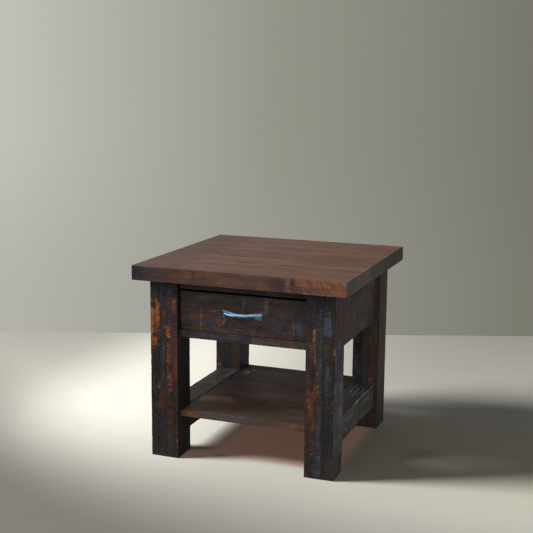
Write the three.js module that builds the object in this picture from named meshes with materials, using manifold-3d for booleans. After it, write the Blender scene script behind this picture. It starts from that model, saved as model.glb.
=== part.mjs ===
// A rustic side table with one drawer and a lower shelf.
//
// The legs are glued up from three boards each. Rails, aprons and stretchers are tenoned into them, the
// shelf boards are tongued into the stretchers, and the top is screwed down through two cleats. The drawer
// is a dovetailed box behind an inset front, and runs on a pair of three-member ball-bearing slides.
//
// Millimetres, +Z up. The front faces -Y, and the origin is on the floor under the middle of the top.

import * as THREE from "three";
import { mergeVertices } from "three/addons/utils/BufferGeometryUtils.js";
import Module from "manifold-3d";

// ---- Driving dimensions -------------------------------------------------------------------------

const TABLE_HEIGHT = 550;

const TOP_WIDTH = 610;
const TOP_DEPTH = 610;
const TOP_THICKNESS = 41;
const TOP_BOARD_COUNT = 5;
const TOP_OVERHANG = 37; // from the legs' outer faces to the edge of the top

const LEG_DEPTH = 82;
const LEG_BOARD_WIDTHS = { left: 29, middle: 19, right: 34 };

const FRONT_SETBACK = 16; // of the rails, the drawer front and the shelf behind the legs' front faces
const APRON_SETBACK = 15; // of the aprons behind the legs' outer faces
const STRETCHER_SETBACK = 13;

const TOP_RAIL_THICKNESS = 24;
const BOTTOM_RAIL_THICKNESS = 23;
const RAIL_DEPTH = 60;
const APRON_HEIGHT = 170;
const APRON_THICKNESS = 22;
const STRETCHER_HEIGHT = 69;

const SHELF_TOP_HEIGHT = 138; // from the floor to the shelf's upper face
const SHELF_THICKNESS = 18;
const SHELF_BOARD_COUNT = 3;
const SHELF_END_GAP = 0.6; // between the shelf's ends and the legs and stretchers
const TONGUE_LENGTH = 8;
const TONGUE_THICKNESS = 6;

const TENON_LENGTH = 25;
const RAIL_TENON_THICKNESS = 10;
const RAIL_TENON_WIDTH = 40;
const APRON_TENON_THICKNESS = 10;
const APRON_TENON_SHOULDER = 15; // above and below the tenon
const STRETCHER_TENON_WIDTH = 24;
const STRETCHER_TENON_HEIGHT = 45;
const MORTISE_END_GAP = 1;

const CLEAT_WIDTH = 20;
const CLEAT_HEIGHT = 20;
const CLEAT_END_GAP = 36; // from a cleat's ends to the legs
const CLEAT_SCREW_INSET = 50; // from a cleat's ends to its screws
const CLEAT_SCREW_LENGTH = 38;

const DRAWER_FRONT_HEIGHT = 108;
const DRAWER_FRONT_THICKNESS = 20;
const DRAWER_GAP_ABOVE = 5;
const DRAWER_GAP_BELOW = 1.5;
const DRAWER_GAP_BESIDE = 2.5;
const BOX_STEP_UP = 6; // from the drawer front's lower edge to the box's
const BOX_STEP_DOWN = 12; // from the drawer front's upper edge to the box's
const BOX_BOARD_THICKNESS = 13;
const BOX_BACK_GAP = 6; // the box is this much shorter than the slides
const DOVETAILS_PER_CORNER = 3;
const DOVETAIL_WIDTH = 14; // at the root
const DOVETAIL_SLOPE = 1 / 7;
const BOTTOM_PANEL_THICKNESS = 6;
const BOTTOM_PANEL_HEIGHT = 10; // from the box's lower edge to the panel
const BOTTOM_PANEL_INSERT = 5; // how far the panel reaches into its grooves

const SLIDE_BACK_GAP = 11; // between the slides and the back apron
const SLIDE_FRONT_GAP = 1; // between the slides and the drawer front
const SLIDE_WIDTH = 12.7;
const SLIDE_HEIGHT = 45;
const SLIDE_SHEET = 1.2;
const MIDDLE_MEMBER_SHORTENING = 50;
const BALL_RADIUS = 1.6;
const BALLS_PER_ROW = 5;
const BALL_PITCH = 38;
const CAGE_SHEET = 0.5;
const CAGE_MARGIN = 8; // past the last ball at each end
const CABINET_SCREW_INSET = 18; // from a slide's end to the screw into the leg
const CABINET_SCREW_LENGTH = 16;
const BOX_SCREW_INSET = 45; // from a slide's end to the screw into the drawer box
const BOX_SCREW_LENGTH = 10;

const PULL_SCREW_SPACING = 96;
const PULL_SCREW_INSET = 9.5; // from the pull's end to its screw
const PULL_SCREW_DEPTH = 4; // into the pull's foot
const PULL_PROJECTION = 22;
const PULL_GRIP_THICKNESS = 7;
const PULL_GRIP_HEIGHT = 12;
const PULL_END_HEIGHT = 21;
const PULL_FOOT_LENGTH = 17;
const PULL_ARCH_POWER = 2.2; // how square the arch is, from above
const PULL_WAIST_POWER = 2.2; // how late the grip flares to its ends, from the front

// Clearances.
const GLUE_LINE = 0.1; // between faces that are glued or pressed together
const RUNNING_GAP = 0.3; // between parts that slide past each other
const BALL_GAP = 0.15; // on each side of a ball
const SCREW_GAP = 0.2; // round a screw

// Screws: a wood screw's head is countersunk, and the others have a low round head.
const WOOD_SCREW = { headRadius: 3.6, headHeight: 2.4, shankRadius: 1.8 };
const PAN_SCREW = { headRadius: 3.4, headHeight: 2, shankRadius: 1.8 };
const PULL_SCREW = { headRadius: 4, headHeight: 2.4, shankRadius: 2 };

// ---- Sizes and places that follow ---------------------------------------------------------------

const LEG_WIDTH = LEG_BOARD_WIDTHS.left + LEG_BOARD_WIDTHS.middle + LEG_BOARD_WIDTHS.right;
const LEG_HEIGHT = TABLE_HEIGHT - TOP_THICKNESS - GLUE_LINE;
const LEG_OUTER_X = TOP_WIDTH / 2 - TOP_OVERHANG;
const LEG_OUTER_Y = TOP_DEPTH / 2 - TOP_OVERHANG;
const LEG_INNER_X = LEG_OUTER_X - LEG_WIDTH;
const LEG_INNER_Y = LEG_OUTER_Y - LEG_DEPTH;

const FRONT_Y = -LEG_OUTER_Y + FRONT_SETBACK; // the plane of the rails, the drawer front and the shelf
const APRON_OUTER_X = LEG_OUTER_X - APRON_SETBACK;
const APRON_OUTER_Y = LEG_OUTER_Y - APRON_SETBACK;
const APRON_INNER_X = APRON_OUTER_X - APRON_THICKNESS;
const APRON_INNER_Y = APRON_OUTER_Y - APRON_THICKNESS;
const STRETCHER_OUTER_X = LEG_OUTER_X - STRETCHER_SETBACK;
const CLEAT_LENGTH = 2 * (LEG_INNER_Y - CLEAT_END_GAP);

const DRAWER_TOP_Z = LEG_HEIGHT - TOP_RAIL_THICKNESS - DRAWER_GAP_ABOVE;
const DRAWER_BOTTOM_Z = DRAWER_TOP_Z - DRAWER_FRONT_HEIGHT;
const BOTTOM_RAIL_TOP_Z = DRAWER_BOTTOM_Z - DRAWER_GAP_BELOW;
const BOX_FRONT_Y = FRONT_Y + DRAWER_FRONT_THICKNESS + GLUE_LINE;
const BOX_BOTTOM_Z = DRAWER_BOTTOM_Z + BOX_STEP_UP;
const BOX_HEIGHT = DRAWER_FRONT_HEIGHT - BOX_STEP_UP - BOX_STEP_DOWN;

const SLIDE_SPACE = SLIDE_WIDTH + 2 * GLUE_LINE;
const SLIDE_FRONT_Y = BOX_FRONT_Y + SLIDE_FRONT_GAP;
const SLIDE_LENGTH = APRON_INNER_Y - SLIDE_BACK_GAP - SLIDE_FRONT_Y;
const SLIDE_Z = BOX_BOTTOM_Z + BOX_HEIGHT / 2;
const MIDDLE_LENGTH = SLIDE_LENGTH - MIDDLE_MEMBER_SHORTENING;
const BOX_WIDTH = 2 * (LEG_INNER_X - SLIDE_SPACE);
const BOX_LENGTH = SLIDE_LENGTH + SLIDE_FRONT_GAP - BOX_BACK_GAP;

// ---- Finishes -----------------------------------------------------------------------------------

const finishes = {
  topWood: { color: 0x5d4033, roughness: 0.45 },
  amberLegWood: { color: 0x54331f, roughness: 0.75 },
  slateLegWood: { color: 0x2b2b2c, roughness: 0.75 },
  russetLegWood: { color: 0x3a2722, roughness: 0.75 },
  frameWood: { color: 0x33291f, roughness: 0.7 },
  shelfWood: { color: 0x36281f, roughness: 0.55 },
  drawerFrontWood: { color: 0x2f2721, roughness: 0.7 },
  drawerBoxWood: { color: 0xb58d5e, roughness: 0.6 },
  pullMetal: { color: 0x6d92a5, roughness: 0.35, metalness: 1 },
  slideSteel: { color: 0xa9adb0, roughness: 0.35, metalness: 1 },
  cageSteel: { color: 0x8c9093, roughness: 0.4, metalness: 1 },
  screwSteel: { color: 0x9a9a92, roughness: 0.4, metalness: 1 },
};

// ---- Solids -------------------------------------------------------------------------------------

const wasm = await Module();
wasm.setup();

const MERGE_DISTANCE = 1e-4;
const ROUND_SEGMENTS = 12;
const BALL_SEGMENTS = 6;

function toSolid(geometry) {
  const faces = geometry.index ? geometry.toNonIndexed() : geometry;
  const bare = new THREE.BufferGeometry();
  bare.setAttribute("position", faces.getAttribute("position"));
  const merged = mergeVertices(bare, MERGE_DISTANCE);
  return new wasm.Manifold(
    new wasm.Mesh({
      numProp: 3,
      vertProperties: merged.attributes.position.array,
      triVerts: new Uint32Array(merged.index.array),
    }),
  );
}

function toGeometry(solid) {
  const mesh = solid.getMesh();
  const geometry = new THREE.BufferGeometry();
  geometry.setAttribute("position", new THREE.BufferAttribute(new Float32Array(mesh.vertProperties), 3));
  geometry.setIndex(new THREE.BufferAttribute(new Uint32Array(mesh.triVerts), 1));
  return geometry;
}

function join(geometry, ...others) {
  return toGeometry(others.reduce((solid, other) => solid.add(toSolid(other)), toSolid(geometry)));
}

function cut(geometry, ...others) {
  return toGeometry(others.reduce((solid, other) => solid.subtract(toSolid(other)), toSolid(geometry)));
}

function common(geometry, other) {
  return toGeometry(toSolid(geometry).intersect(toSolid(other)));
}

// A box from ranges along X, Y and Z, each [low, high].
function block(x, y, z) {
  const geometry = new THREE.BoxGeometry(x[1] - x[0], y[1] - y[0], z[1] - z[0]);
  return geometry.translate((x[0] + x[1]) / 2, (y[0] + y[1]) / 2, (z[0] + z[1]) / 2);
}

function around(centre, size) {
  return [centre - size / 2, centre + size / 2];
}

function grown([low, high], by) {
  return [low - by, high + by];
}

// A range on one side of the middle: side is 1 for the right and -1 for the left.
function onSide(side, near, far) {
  return side > 0 ? [near, far] : [-far, -near];
}

// A shape's x and y laid along Y and Z, and extruded along X from 0.
function extrudedAlongX(shape, length) {
  const turn = new THREE.Matrix4().makeBasis(
    new THREE.Vector3(0, 1, 0),
    new THREE.Vector3(0, 0, 1),
    new THREE.Vector3(1, 0, 0),
  );
  return new THREE.ExtrudeGeometry(shape, { depth: length, bevelEnabled: false }).applyMatrix4(turn);
}

// A shape's x and y laid along X and Z, and extruded along Y from 0.
function extrudedAlongY(shape, length) {
  const geometry = new THREE.ExtrudeGeometry(shape, { depth: length, bevelEnabled: false });
  return geometry.rotateX(Math.PI / 2).translate(0, length, 0);
}

function polygon(points) {
  return new THREE.Shape(points.map(([x, y]) => new THREE.Vector2(x, y)));
}

const SIDES = [
  ["left", -1],
  ["right", 1],
];
const ENDS = [
  ["front", -1],
  ["back", 1],
];

// ---- The scene graph ----------------------------------------------------------------------------

const table = new THREE.Group();
const top = new THREE.Group();
const frame = new THREE.Group();
const shelf = new THREE.Group();
const drawer = new THREE.Group();
drawer.position.set(0, BOX_FRONT_Y, BOX_BOTTOM_Z);
table.add(top, frame, shelf, drawer);

// A named mesh in a group. Its geometry is given in the group's frame and is moved to sit about its middle.
function place(group, name, finish, geometry) {
  geometry.computeBoundingBox();
  const centre = geometry.boundingBox.getCenter(new THREE.Vector3());
  geometry.translate(-centre.x, -centre.y, -centre.z);
  const mesh = new THREE.Mesh(geometry, new THREE.MeshStandardMaterial(finishes[finish]));
  mesh.name = name;
  mesh.position.copy(centre);
  group.add(mesh);
  return mesh;
}

// A screw whose head's outer face is at 0 and whose shank runs along +Z. A gap makes its hole.
function screw({ headRadius, headHeight, shankRadius }, length, countersunk, gap = 0) {
  const shank = shankRadius + gap;
  const step = countersunk ? [] : [[headRadius + gap, headHeight + gap]];
  const profile = [
    [0, -gap],
    [headRadius + gap, -gap],
    ...step,
    [shank, headHeight + gap],
    [shank, length + gap],
    [0, length + gap],
  ];
  const outline = profile.map(([r, z]) => new THREE.Vector2(r, z));
  return new THREE.LatheGeometry(outline, ROUND_SEGMENTS).rotateX(Math.PI / 2);
}

// Turns a screw, or its hole, from +Z to a direction and puts its head at a point.
function driven(geometry, direction, point) {
  const turn = new THREE.Quaternion().setFromUnitVectors(new THREE.Vector3(0, 0, 1), direction);
  return geometry.applyQuaternion(turn).translate(...point);
}

const UP = new THREE.Vector3(0, 0, 1);
const FORWARD = new THREE.Vector3(0, -1, 0);
const TOWARDS_DRAWER = new THREE.Vector3(1, 0, 0); // in a slide's frame
const TOWARDS_LEG = new THREE.Vector3(-1, 0, 0);

// ---- Joints of the frame ------------------------------------------------------------------------
// A tenon is three ranges. It is added to the board that has it, and its mortise is cut from the legs.

const mortises = [];

function mortise(tenon, along) {
  mortises.push(block(...tenon.map((range, i) => grown(range, i === along ? MORTISE_END_GAP : GLUE_LINE))));
}

// A board that runs along X or Y between two legs, with a tenon at each end.
function tenonedBoard(name, ranges, along, tenonRanges) {
  const tenon = [...tenonRanges];
  tenon[along] = grown(ranges[along], TENON_LENGTH);
  mortise(tenon, along);
  return place(frame, name, "frameWood", join(block(...ranges), block(...tenon)));
}

function makeRails() {
  const x = around(0, 2 * (LEG_INNER_X - GLUE_LINE));
  const y = [FRONT_Y, FRONT_Y + RAIL_DEPTH];
  const heights = [
    ["front_top_rail", LEG_HEIGHT - TOP_RAIL_THICKNESS, LEG_HEIGHT],
    ["front_bottom_rail", BOTTOM_RAIL_TOP_Z - BOTTOM_RAIL_THICKNESS, BOTTOM_RAIL_TOP_Z],
  ];
  for (const [name, low, high] of heights) {
    const tenonY = around((y[0] + y[1]) / 2, RAIL_TENON_WIDTH);
    const tenonZ = around((low + high) / 2, RAIL_TENON_THICKNESS);
    tenonedBoard(name, [x, y, [low, high]], 0, [x, tenonY, tenonZ]);
  }
}

function makeAprons() {
  const z = [LEG_HEIGHT - APRON_HEIGHT, LEG_HEIGHT];
  const tenonZ = grown(z, -APRON_TENON_SHOULDER);
  const y = around(0, 2 * (LEG_INNER_Y - GLUE_LINE));
  for (const [name, side] of SIDES) {
    const x = onSide(side, APRON_INNER_X, APRON_OUTER_X);
    const tenon = [around((x[0] + x[1]) / 2, APRON_TENON_THICKNESS), y, tenonZ];
    tenonedBoard(`${name}_apron`, [x, y, z], 1, tenon);
  }
  const backX = around(0, 2 * (LEG_INNER_X - GLUE_LINE));
  const backY = [APRON_INNER_Y, APRON_OUTER_Y];
  const tenon = [backX, around((backY[0] + backY[1]) / 2, APRON_TENON_THICKNESS), tenonZ];
  tenonedBoard("back_apron", [backX, backY, z], 0, tenon);
}

// The two stretchers carry the shelf in a groove along their inner faces.
function makeStretchers() {
  const y = around(0, 2 * (LEG_INNER_Y - GLUE_LINE));
  const z = [SHELF_TOP_HEIGHT - STRETCHER_HEIGHT, SHELF_TOP_HEIGHT];
  const middleZ = (z[0] + z[1]) / 2;
  for (const [name, side] of SIDES) {
    const x = onSide(side, LEG_INNER_X, STRETCHER_OUTER_X);
    const middleX = (x[0] + x[1]) / 2;
    const tenon = [around(middleX, STRETCHER_TENON_WIDTH), y, around(middleZ, STRETCHER_TENON_HEIGHT)];
    const grooveX = onSide(side, LEG_INNER_X - SHELF_END_GAP, LEG_INNER_X + TONGUE_LENGTH + GLUE_LINE);
    const groove = block(grooveX, grown(y, MORTISE_END_GAP), grown(tongueHeights(), GLUE_LINE));
    carve(tenonedBoard(`${name}_stretcher`, [x, y, z], 1, tenon), groove);
  }
}

function tongueHeights() {
  return around(SHELF_TOP_HEIGHT - SHELF_THICKNESS / 2, TONGUE_THICKNESS);
}

// Cuts solids given in the table's frame out of a mesh.
function carve(mesh, ...cutters) {
  table.updateMatrixWorld(true);
  const inTable = mesh.geometry.clone().applyMatrix4(mesh.matrixWorld);
  mesh.geometry = cut(inTable, ...cutters).applyMatrix4(mesh.matrixWorld.clone().invert());
}

// ---- Legs ---------------------------------------------------------------------------------------

const LEG_FINISHES = { left: "amberLegWood", middle: "slateLegWood", right: "russetLegWood" };

function makeLegs(holes) {
  for (const [endName, end] of ENDS) {
    for (const [sideName, side] of SIDES) {
      const leg = new THREE.Group();
      leg.position.set(onSide(side, LEG_INNER_X, LEG_OUTER_X)[0], end * (LEG_OUTER_Y - LEG_DEPTH / 2), 0);
      frame.add(leg);
      let x = 0;
      for (const [board, width] of Object.entries(LEG_BOARD_WIDTHS)) {
        const gapBefore = board === "left" ? 0 : GLUE_LINE / 2;
        const gapAfter = board === "right" ? 0 : GLUE_LINE / 2;
        const body = block([x + gapBefore, x + width - gapAfter], around(0, LEG_DEPTH), [0, LEG_HEIGHT]);
        const name = `${endName}_${sideName}_leg_${board}_board`;
        carve(place(leg, name, LEG_FINISHES[board], body), ...holes);
        x += width;
      }
    }
  }
}

// ---- Shelf --------------------------------------------------------------------------------------

// The boards run from side to side. Their tongues stop at the legs.
function makeShelf() {
  const depth = -2 * FRONT_Y;
  const width = depth / SHELF_BOARD_COUNT;
  const z = [SHELF_TOP_HEIGHT - SHELF_THICKNESS, SHELF_TOP_HEIGHT];
  const halfLength = LEG_INNER_X - SHELF_END_GAP;
  const tongueLimit = LEG_INNER_Y - SHELF_END_GAP;
  for (let i = 0; i < SHELF_BOARD_COUNT; i++) {
    const y = grown([FRONT_Y + i * width, FRONT_Y + (i + 1) * width], -GLUE_LINE / 2);
    const tongueY = [Math.max(y[0], -tongueLimit), Math.min(y[1], tongueLimit)];
    const tongue = block(around(0, 2 * (halfLength + TONGUE_LENGTH)), tongueY, tongueHeights());
    const board = join(block(around(0, 2 * halfLength), y, z), tongue);
    place(shelf, `shelf_board_${i + 1}`, "shelfWood", board);
  }
}

// ---- Top, and the cleats that hold it -----------------------------------------------------------

// The four screws, or their holes, each with its name.
function cleatScrews(gap) {
  return SIDES.flatMap(([name, side]) =>
    ENDS.map(([endName, end]) => {
      const x = side * (APRON_INNER_X - GLUE_LINE - CLEAT_WIDTH / 2);
      const y = end * (CLEAT_LENGTH / 2 - CLEAT_SCREW_INSET);
      const head = [x, y, LEG_HEIGHT - CLEAT_HEIGHT];
      const geometry = driven(screw(WOOD_SCREW, CLEAT_SCREW_LENGTH, true, gap), UP, head);
      return [`${name}_cleat_${endName}_screw`, geometry];
    }),
  );
}

function makeTop() {
  const width = TOP_DEPTH / TOP_BOARD_COUNT;
  const holes = cleatScrews(SCREW_GAP).map(([, hole]) => hole);
  for (let i = 0; i < TOP_BOARD_COUNT; i++) {
    const gapBefore = i === 0 ? 0 : GLUE_LINE / 2;
    const gapAfter = i === TOP_BOARD_COUNT - 1 ? 0 : GLUE_LINE / 2;
    const low = -TOP_DEPTH / 2 + i * width;
    const y = [low + gapBefore, low + width - gapAfter];
    const board = block(around(0, TOP_WIDTH), y, [TABLE_HEIGHT - TOP_THICKNESS, TABLE_HEIGHT]);
    place(top, `top_board_${i + 1}`, "topWood", cut(board, ...holes));
  }
  for (const [name, side] of SIDES) {
    const x = onSide(side, APRON_INNER_X - GLUE_LINE - CLEAT_WIDTH, APRON_INNER_X - GLUE_LINE);
    const cleat = block(x, around(0, CLEAT_LENGTH), [LEG_HEIGHT - CLEAT_HEIGHT, LEG_HEIGHT]);
    place(top, `${name}_top_cleat`, "frameWood", cut(cleat, ...holes));
  }
  for (const [name, geometry] of cleatScrews(0)) {
    place(top, name, "screwSteel", geometry);
  }
}

// ---- Drawer box ---------------------------------------------------------------------------------
// In the drawer's frame the box's front face is at y = 0 and its lower edge at z = 0.

// The outline of the dovetails at one end: root and tip are their y, and a gap makes their sockets.
function dovetails(root, tip, gap) {
  const pitch = BOX_HEIGHT / DOVETAILS_PER_CORNER;
  const flare = Math.abs(tip - root) * DOVETAIL_SLOPE;
  const outward = Math.sign(tip - root) * gap;
  return Array.from({ length: DOVETAILS_PER_CORNER }, (_, i) => {
    const z = (i + 0.5) * pitch;
    const half = DOVETAIL_WIDTH / 2 + gap;
    return [
      [root - outward, z - half],
      [tip + outward, z - half - flare],
      [tip + outward, z + half + flare],
      [root - outward, z + half],
    ];
  });
}

const BACK_BOARD_Y = BOX_LENGTH - BOX_BOARD_THICKNESS;
const BOX_ENDS = [
  { root: BOX_BOARD_THICKNESS + GLUE_LINE, tip: 0 },
  { root: BACK_BOARD_Y - GLUE_LINE, tip: BOX_LENGTH },
];

function bottomPanel(gap) {
  const reach = BOX_BOARD_THICKNESS - BOTTOM_PANEL_INSERT;
  return block(
    around(0, BOX_WIDTH - 2 * reach + 2 * gap),
    [reach - gap, BOX_LENGTH - reach + gap],
    [BOTTOM_PANEL_HEIGHT - gap, BOTTOM_PANEL_HEIGHT + BOTTOM_PANEL_THICKNESS + gap],
  );
}

function makeBoxSide(name, side, holes) {
  const [front, back] = BOX_ENDS;
  const outline = [
    [front.root, 0],
    [back.root, 0],
    ...dovetails(back.root, back.tip, 0).flat(),
    [back.root, BOX_HEIGHT],
    [front.root, BOX_HEIGHT],
    ...dovetails(front.root, front.tip, 0).flat().reverse(),
  ];
  const middle = (side * (BOX_WIDTH - BOX_BOARD_THICKNESS)) / 2;
  const body = extrudedAlongX(polygon(outline), BOX_BOARD_THICKNESS);
  body.translate(middle - BOX_BOARD_THICKNESS / 2, 0, 0);
  place(drawer, `drawer_${name}_side`, "drawerBoxWood", cut(body, bottomPanel(GLUE_LINE), ...holes));
}

function makeBoxEnd(name, y, end, holes) {
  const body = block(around(0, BOX_WIDTH), [y, y + BOX_BOARD_THICKNESS], [0, BOX_HEIGHT]);
  const length = BOX_BOARD_THICKNESS + 2 * GLUE_LINE;
  const sockets = dovetails(end.root, end.tip, GLUE_LINE).flatMap((outline) =>
    SIDES.map(([, side]) => {
      const middle = (side * (BOX_WIDTH - BOX_BOARD_THICKNESS)) / 2;
      return extrudedAlongX(polygon(outline), length).translate(middle - length / 2, 0, 0);
    }),
  );
  place(drawer, name, "drawerBoxWood", cut(body, bottomPanel(GLUE_LINE), ...sockets, ...holes));
}

// ---- The pull and its screws --------------------------------------------------------------------

const CURVE_STEPS = 20;
const PULL_LENGTH = PULL_SCREW_SPACING + 2 * PULL_SCREW_INSET;
const PULL_Y = -(DRAWER_FRONT_THICKNESS + 2 * GLUE_LINE);
const PULL_Z = DRAWER_FRONT_HEIGHT / 2 - BOX_STEP_UP;

// Points of a curve that rises from 0 at both ends of a length to a height in the middle.
function archPoints(length, height) {
  return Array.from({ length: CURVE_STEPS + 1 }, (_, i) => {
    const t = (2 * i) / CURVE_STEPS - 1;
    return [(t * length) / 2, height * (1 - Math.abs(t) ** PULL_ARCH_POWER)];
  });
}

function pullBody() {
  const outer = archPoints(PULL_LENGTH, PULL_PROJECTION);
  const inner = archPoints(PULL_LENGTH - 2 * PULL_FOOT_LENGTH, PULL_PROJECTION - PULL_GRIP_THICKNESS);
  const arch = polygon([...inner, ...[...outer].reverse()].map(([x, out]) => [x, -out]));
  const fromAbove = new THREE.ExtrudeGeometry(arch, { depth: PULL_END_HEIGHT, bevelEnabled: false });
  fromAbove.translate(0, 0, -PULL_END_HEIGHT / 2);
  const edge = Array.from({ length: CURVE_STEPS + 1 }, (_, i) => {
    const t = (2 * i) / CURVE_STEPS - 1;
    const flare = (PULL_END_HEIGHT - PULL_GRIP_HEIGHT) * Math.abs(t) ** PULL_WAIST_POWER;
    return [(t * PULL_LENGTH) / 2, (PULL_GRIP_HEIGHT + flare) / 2];
  });
  const waist = polygon([...edge.map(([x, z]) => [x, -z]), ...[...edge].reverse()]);
  const fromFront = extrudedAlongY(waist, PULL_PROJECTION * 2).translate(0, -PULL_PROJECTION * 1.5, 0);
  return common(fromAbove, fromFront).translate(0, PULL_Y, PULL_Z);
}

// The screws start inside the box, go through its front and the drawer front, and end in the pull.
const PULL_SCREW_REACH = BOX_BOARD_THICKNESS - PULL_Y + PULL_SCREW_DEPTH;

function makePullScrews() {
  const length = PULL_SCREW.headHeight + PULL_SCREW_REACH;
  const headY = BOX_BOARD_THICKNESS + GLUE_LINE + PULL_SCREW.headHeight;
  for (const [name, side] of SIDES) {
    const head = [(side * PULL_SCREW_SPACING) / 2, headY, PULL_Z];
    const geometry = driven(screw(PULL_SCREW, length, false), FORWARD, head);
    place(drawer, `pull_${name}_screw`, "screwSteel", geometry);
  }
}

// The screws' holes, which leave no room for the heads: these stay outside the wood.
function pullHoles() {
  const start = BOX_BOARD_THICKNESS + GLUE_LINE;
  const length = PULL_SCREW_REACH + GLUE_LINE + SCREW_GAP;
  const radius = PULL_SCREW.shankRadius + SCREW_GAP;
  return SIDES.map(([, side]) => {
    const hole = new THREE.CylinderGeometry(radius, radius, length, ROUND_SEGMENTS);
    return hole.translate((side * PULL_SCREW_SPACING) / 2, start - length / 2, PULL_Z);
  });
}

// ---- Slides -------------------------------------------------------------------------------------
// A slide's frame starts at its front end on the leg's inner face, and its x runs towards the drawer.
// As the drawer comes out, the middle member follows at a half of its speed, the outer ball cage at a
// quarter and the inner one at three quarters. Each piece stays within the two that it runs between.

const OUTER_WEB = [GLUE_LINE, GLUE_LINE + SLIDE_SHEET];
const OUTER_CAGE_WEB = [OUTER_WEB[1] + RUNNING_GAP, OUTER_WEB[1] + RUNNING_GAP + CAGE_SHEET];
const MIDDLE_WEB = [OUTER_CAGE_WEB[1] + RUNNING_GAP, OUTER_CAGE_WEB[1] + RUNNING_GAP + SLIDE_SHEET];
const INNER_CAGE_WEB = [MIDDLE_WEB[1] + RUNNING_GAP, MIDDLE_WEB[1] + RUNNING_GAP + CAGE_SHEET];
const DRAWER_WEB = [SLIDE_WIDTH + GLUE_LINE - SLIDE_SHEET, SLIDE_WIDTH + GLUE_LINE];
const MEMBER_STEP = SLIDE_SHEET + 2 * (BALL_RADIUS + BALL_GAP); // from one flange to the next one in
const MIDDLE_HALF_HEIGHT = SLIDE_HEIGHT / 2 - MEMBER_STEP;
const DRAWER_HALF_HEIGHT = MIDDLE_HALF_HEIGHT - MEMBER_STEP;
const MOUTH_X = DRAWER_WEB[0] - RUNNING_GAP;
const OUTER_ROW_X = (MIDDLE_WEB[0] + MOUTH_X) / 2;
const INNER_ROW_X = (INNER_CAGE_WEB[1] + MOUTH_X) / 2;
const CAGE_LENGTH = (BALLS_PER_ROW - 1) * BALL_PITCH + 2 * CAGE_MARGIN;

// A channel whose web runs in x from back to face, and whose flanges reach from back to lip.
function channel(back, face, lip, halfHeight, sheet, length) {
  const outline = [
    [back, -halfHeight],
    [lip, -halfHeight],
    [lip, -halfHeight + sheet],
    [face, -halfHeight + sheet],
    [face, halfHeight - sheet],
    [lip, halfHeight - sheet],
    [lip, halfHeight],
    [back, halfHeight],
  ];
  return extrudedAlongY(polygon(outline), length);
}

// A channel that holds a row of balls in each flange, about a middle y and inside flanges at a height.
function ballCage([back, face], rowX, flangeZ, middleY) {
  const rowZ = flangeZ - BALL_GAP - BALL_RADIUS;
  const lip = rowX + BALL_RADIUS / 2;
  const strip = channel(back, face, lip, rowZ + CAGE_SHEET / 2, CAGE_SHEET, CAGE_LENGTH);
  strip.translate(0, middleY - CAGE_LENGTH / 2, 0);
  const balls = [];
  for (let i = 0; i < BALLS_PER_ROW; i++) {
    const y = middleY + (i - (BALLS_PER_ROW - 1) / 2) * BALL_PITCH;
    for (const z of [-rowZ, rowZ]) {
      const ball = new THREE.SphereGeometry(BALL_RADIUS, BALL_SEGMENTS, BALL_SEGMENTS / 2);
      balls.push(ball.rotateX(Math.PI / 2).translate(rowX, y, z));
    }
  }
  return join(strip, ...balls);
}

// The y of the front and back screw of a slide's member.
function screwPlaces(inset) {
  return [inset, SLIDE_LENGTH - inset];
}

function cabinetScrew(y, gap) {
  const head = [OUTER_WEB[1] - GLUE_LINE, y, 0];
  return driven(screw(WOOD_SCREW, CABINET_SCREW_LENGTH, true, gap), TOWARDS_LEG, head);
}

function boxScrew(y) {
  const head = [DRAWER_WEB[0] - PAN_SCREW.headHeight - GLUE_LINE, y, 0];
  return driven(screw(PAN_SCREW, BOX_SCREW_LENGTH, false), TOWARDS_DRAWER, head);
}

// The hole of a screw into the drawer box, from just inside the member's web to past the screw's tip.
function boxScrewHole(y) {
  const radius = PAN_SCREW.shankRadius + SCREW_GAP;
  const length = BOX_SCREW_LENGTH - PAN_SCREW.headHeight + SCREW_GAP;
  const hole = new THREE.CylinderGeometry(radius, radius, length, ROUND_SEGMENTS).rotateZ(Math.PI / 2);
  return hole.translate(DRAWER_WEB[0] - GLUE_LINE + length / 2, y, 0);
}

// A mirror image across the plane x = 0, with its triangles turned to face outwards again.
function mirrored(geometry) {
  const count = geometry.getAttribute("position").count;
  const order = geometry.index ? [...geometry.index.array] : [...Array(count).keys()];
  return geometry.clone().scale(-1, 1, 1).setIndex(order.reverse());
}

// The right slide is a mirror image of the left one.
function onSlideSide(side, geometry) {
  return side > 0 ? mirrored(geometry) : geometry;
}

// The holes that both slides' screws need in the wood, in the table's frame.
function slideHoles(inset, holeAt) {
  return SIDES.flatMap(([, side]) =>
    screwPlaces(inset).map((y) =>
      onSlideSide(side, holeAt(y)).translate(side * LEG_INNER_X, SLIDE_FRONT_Y, SLIDE_Z),
    ),
  );
}

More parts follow.
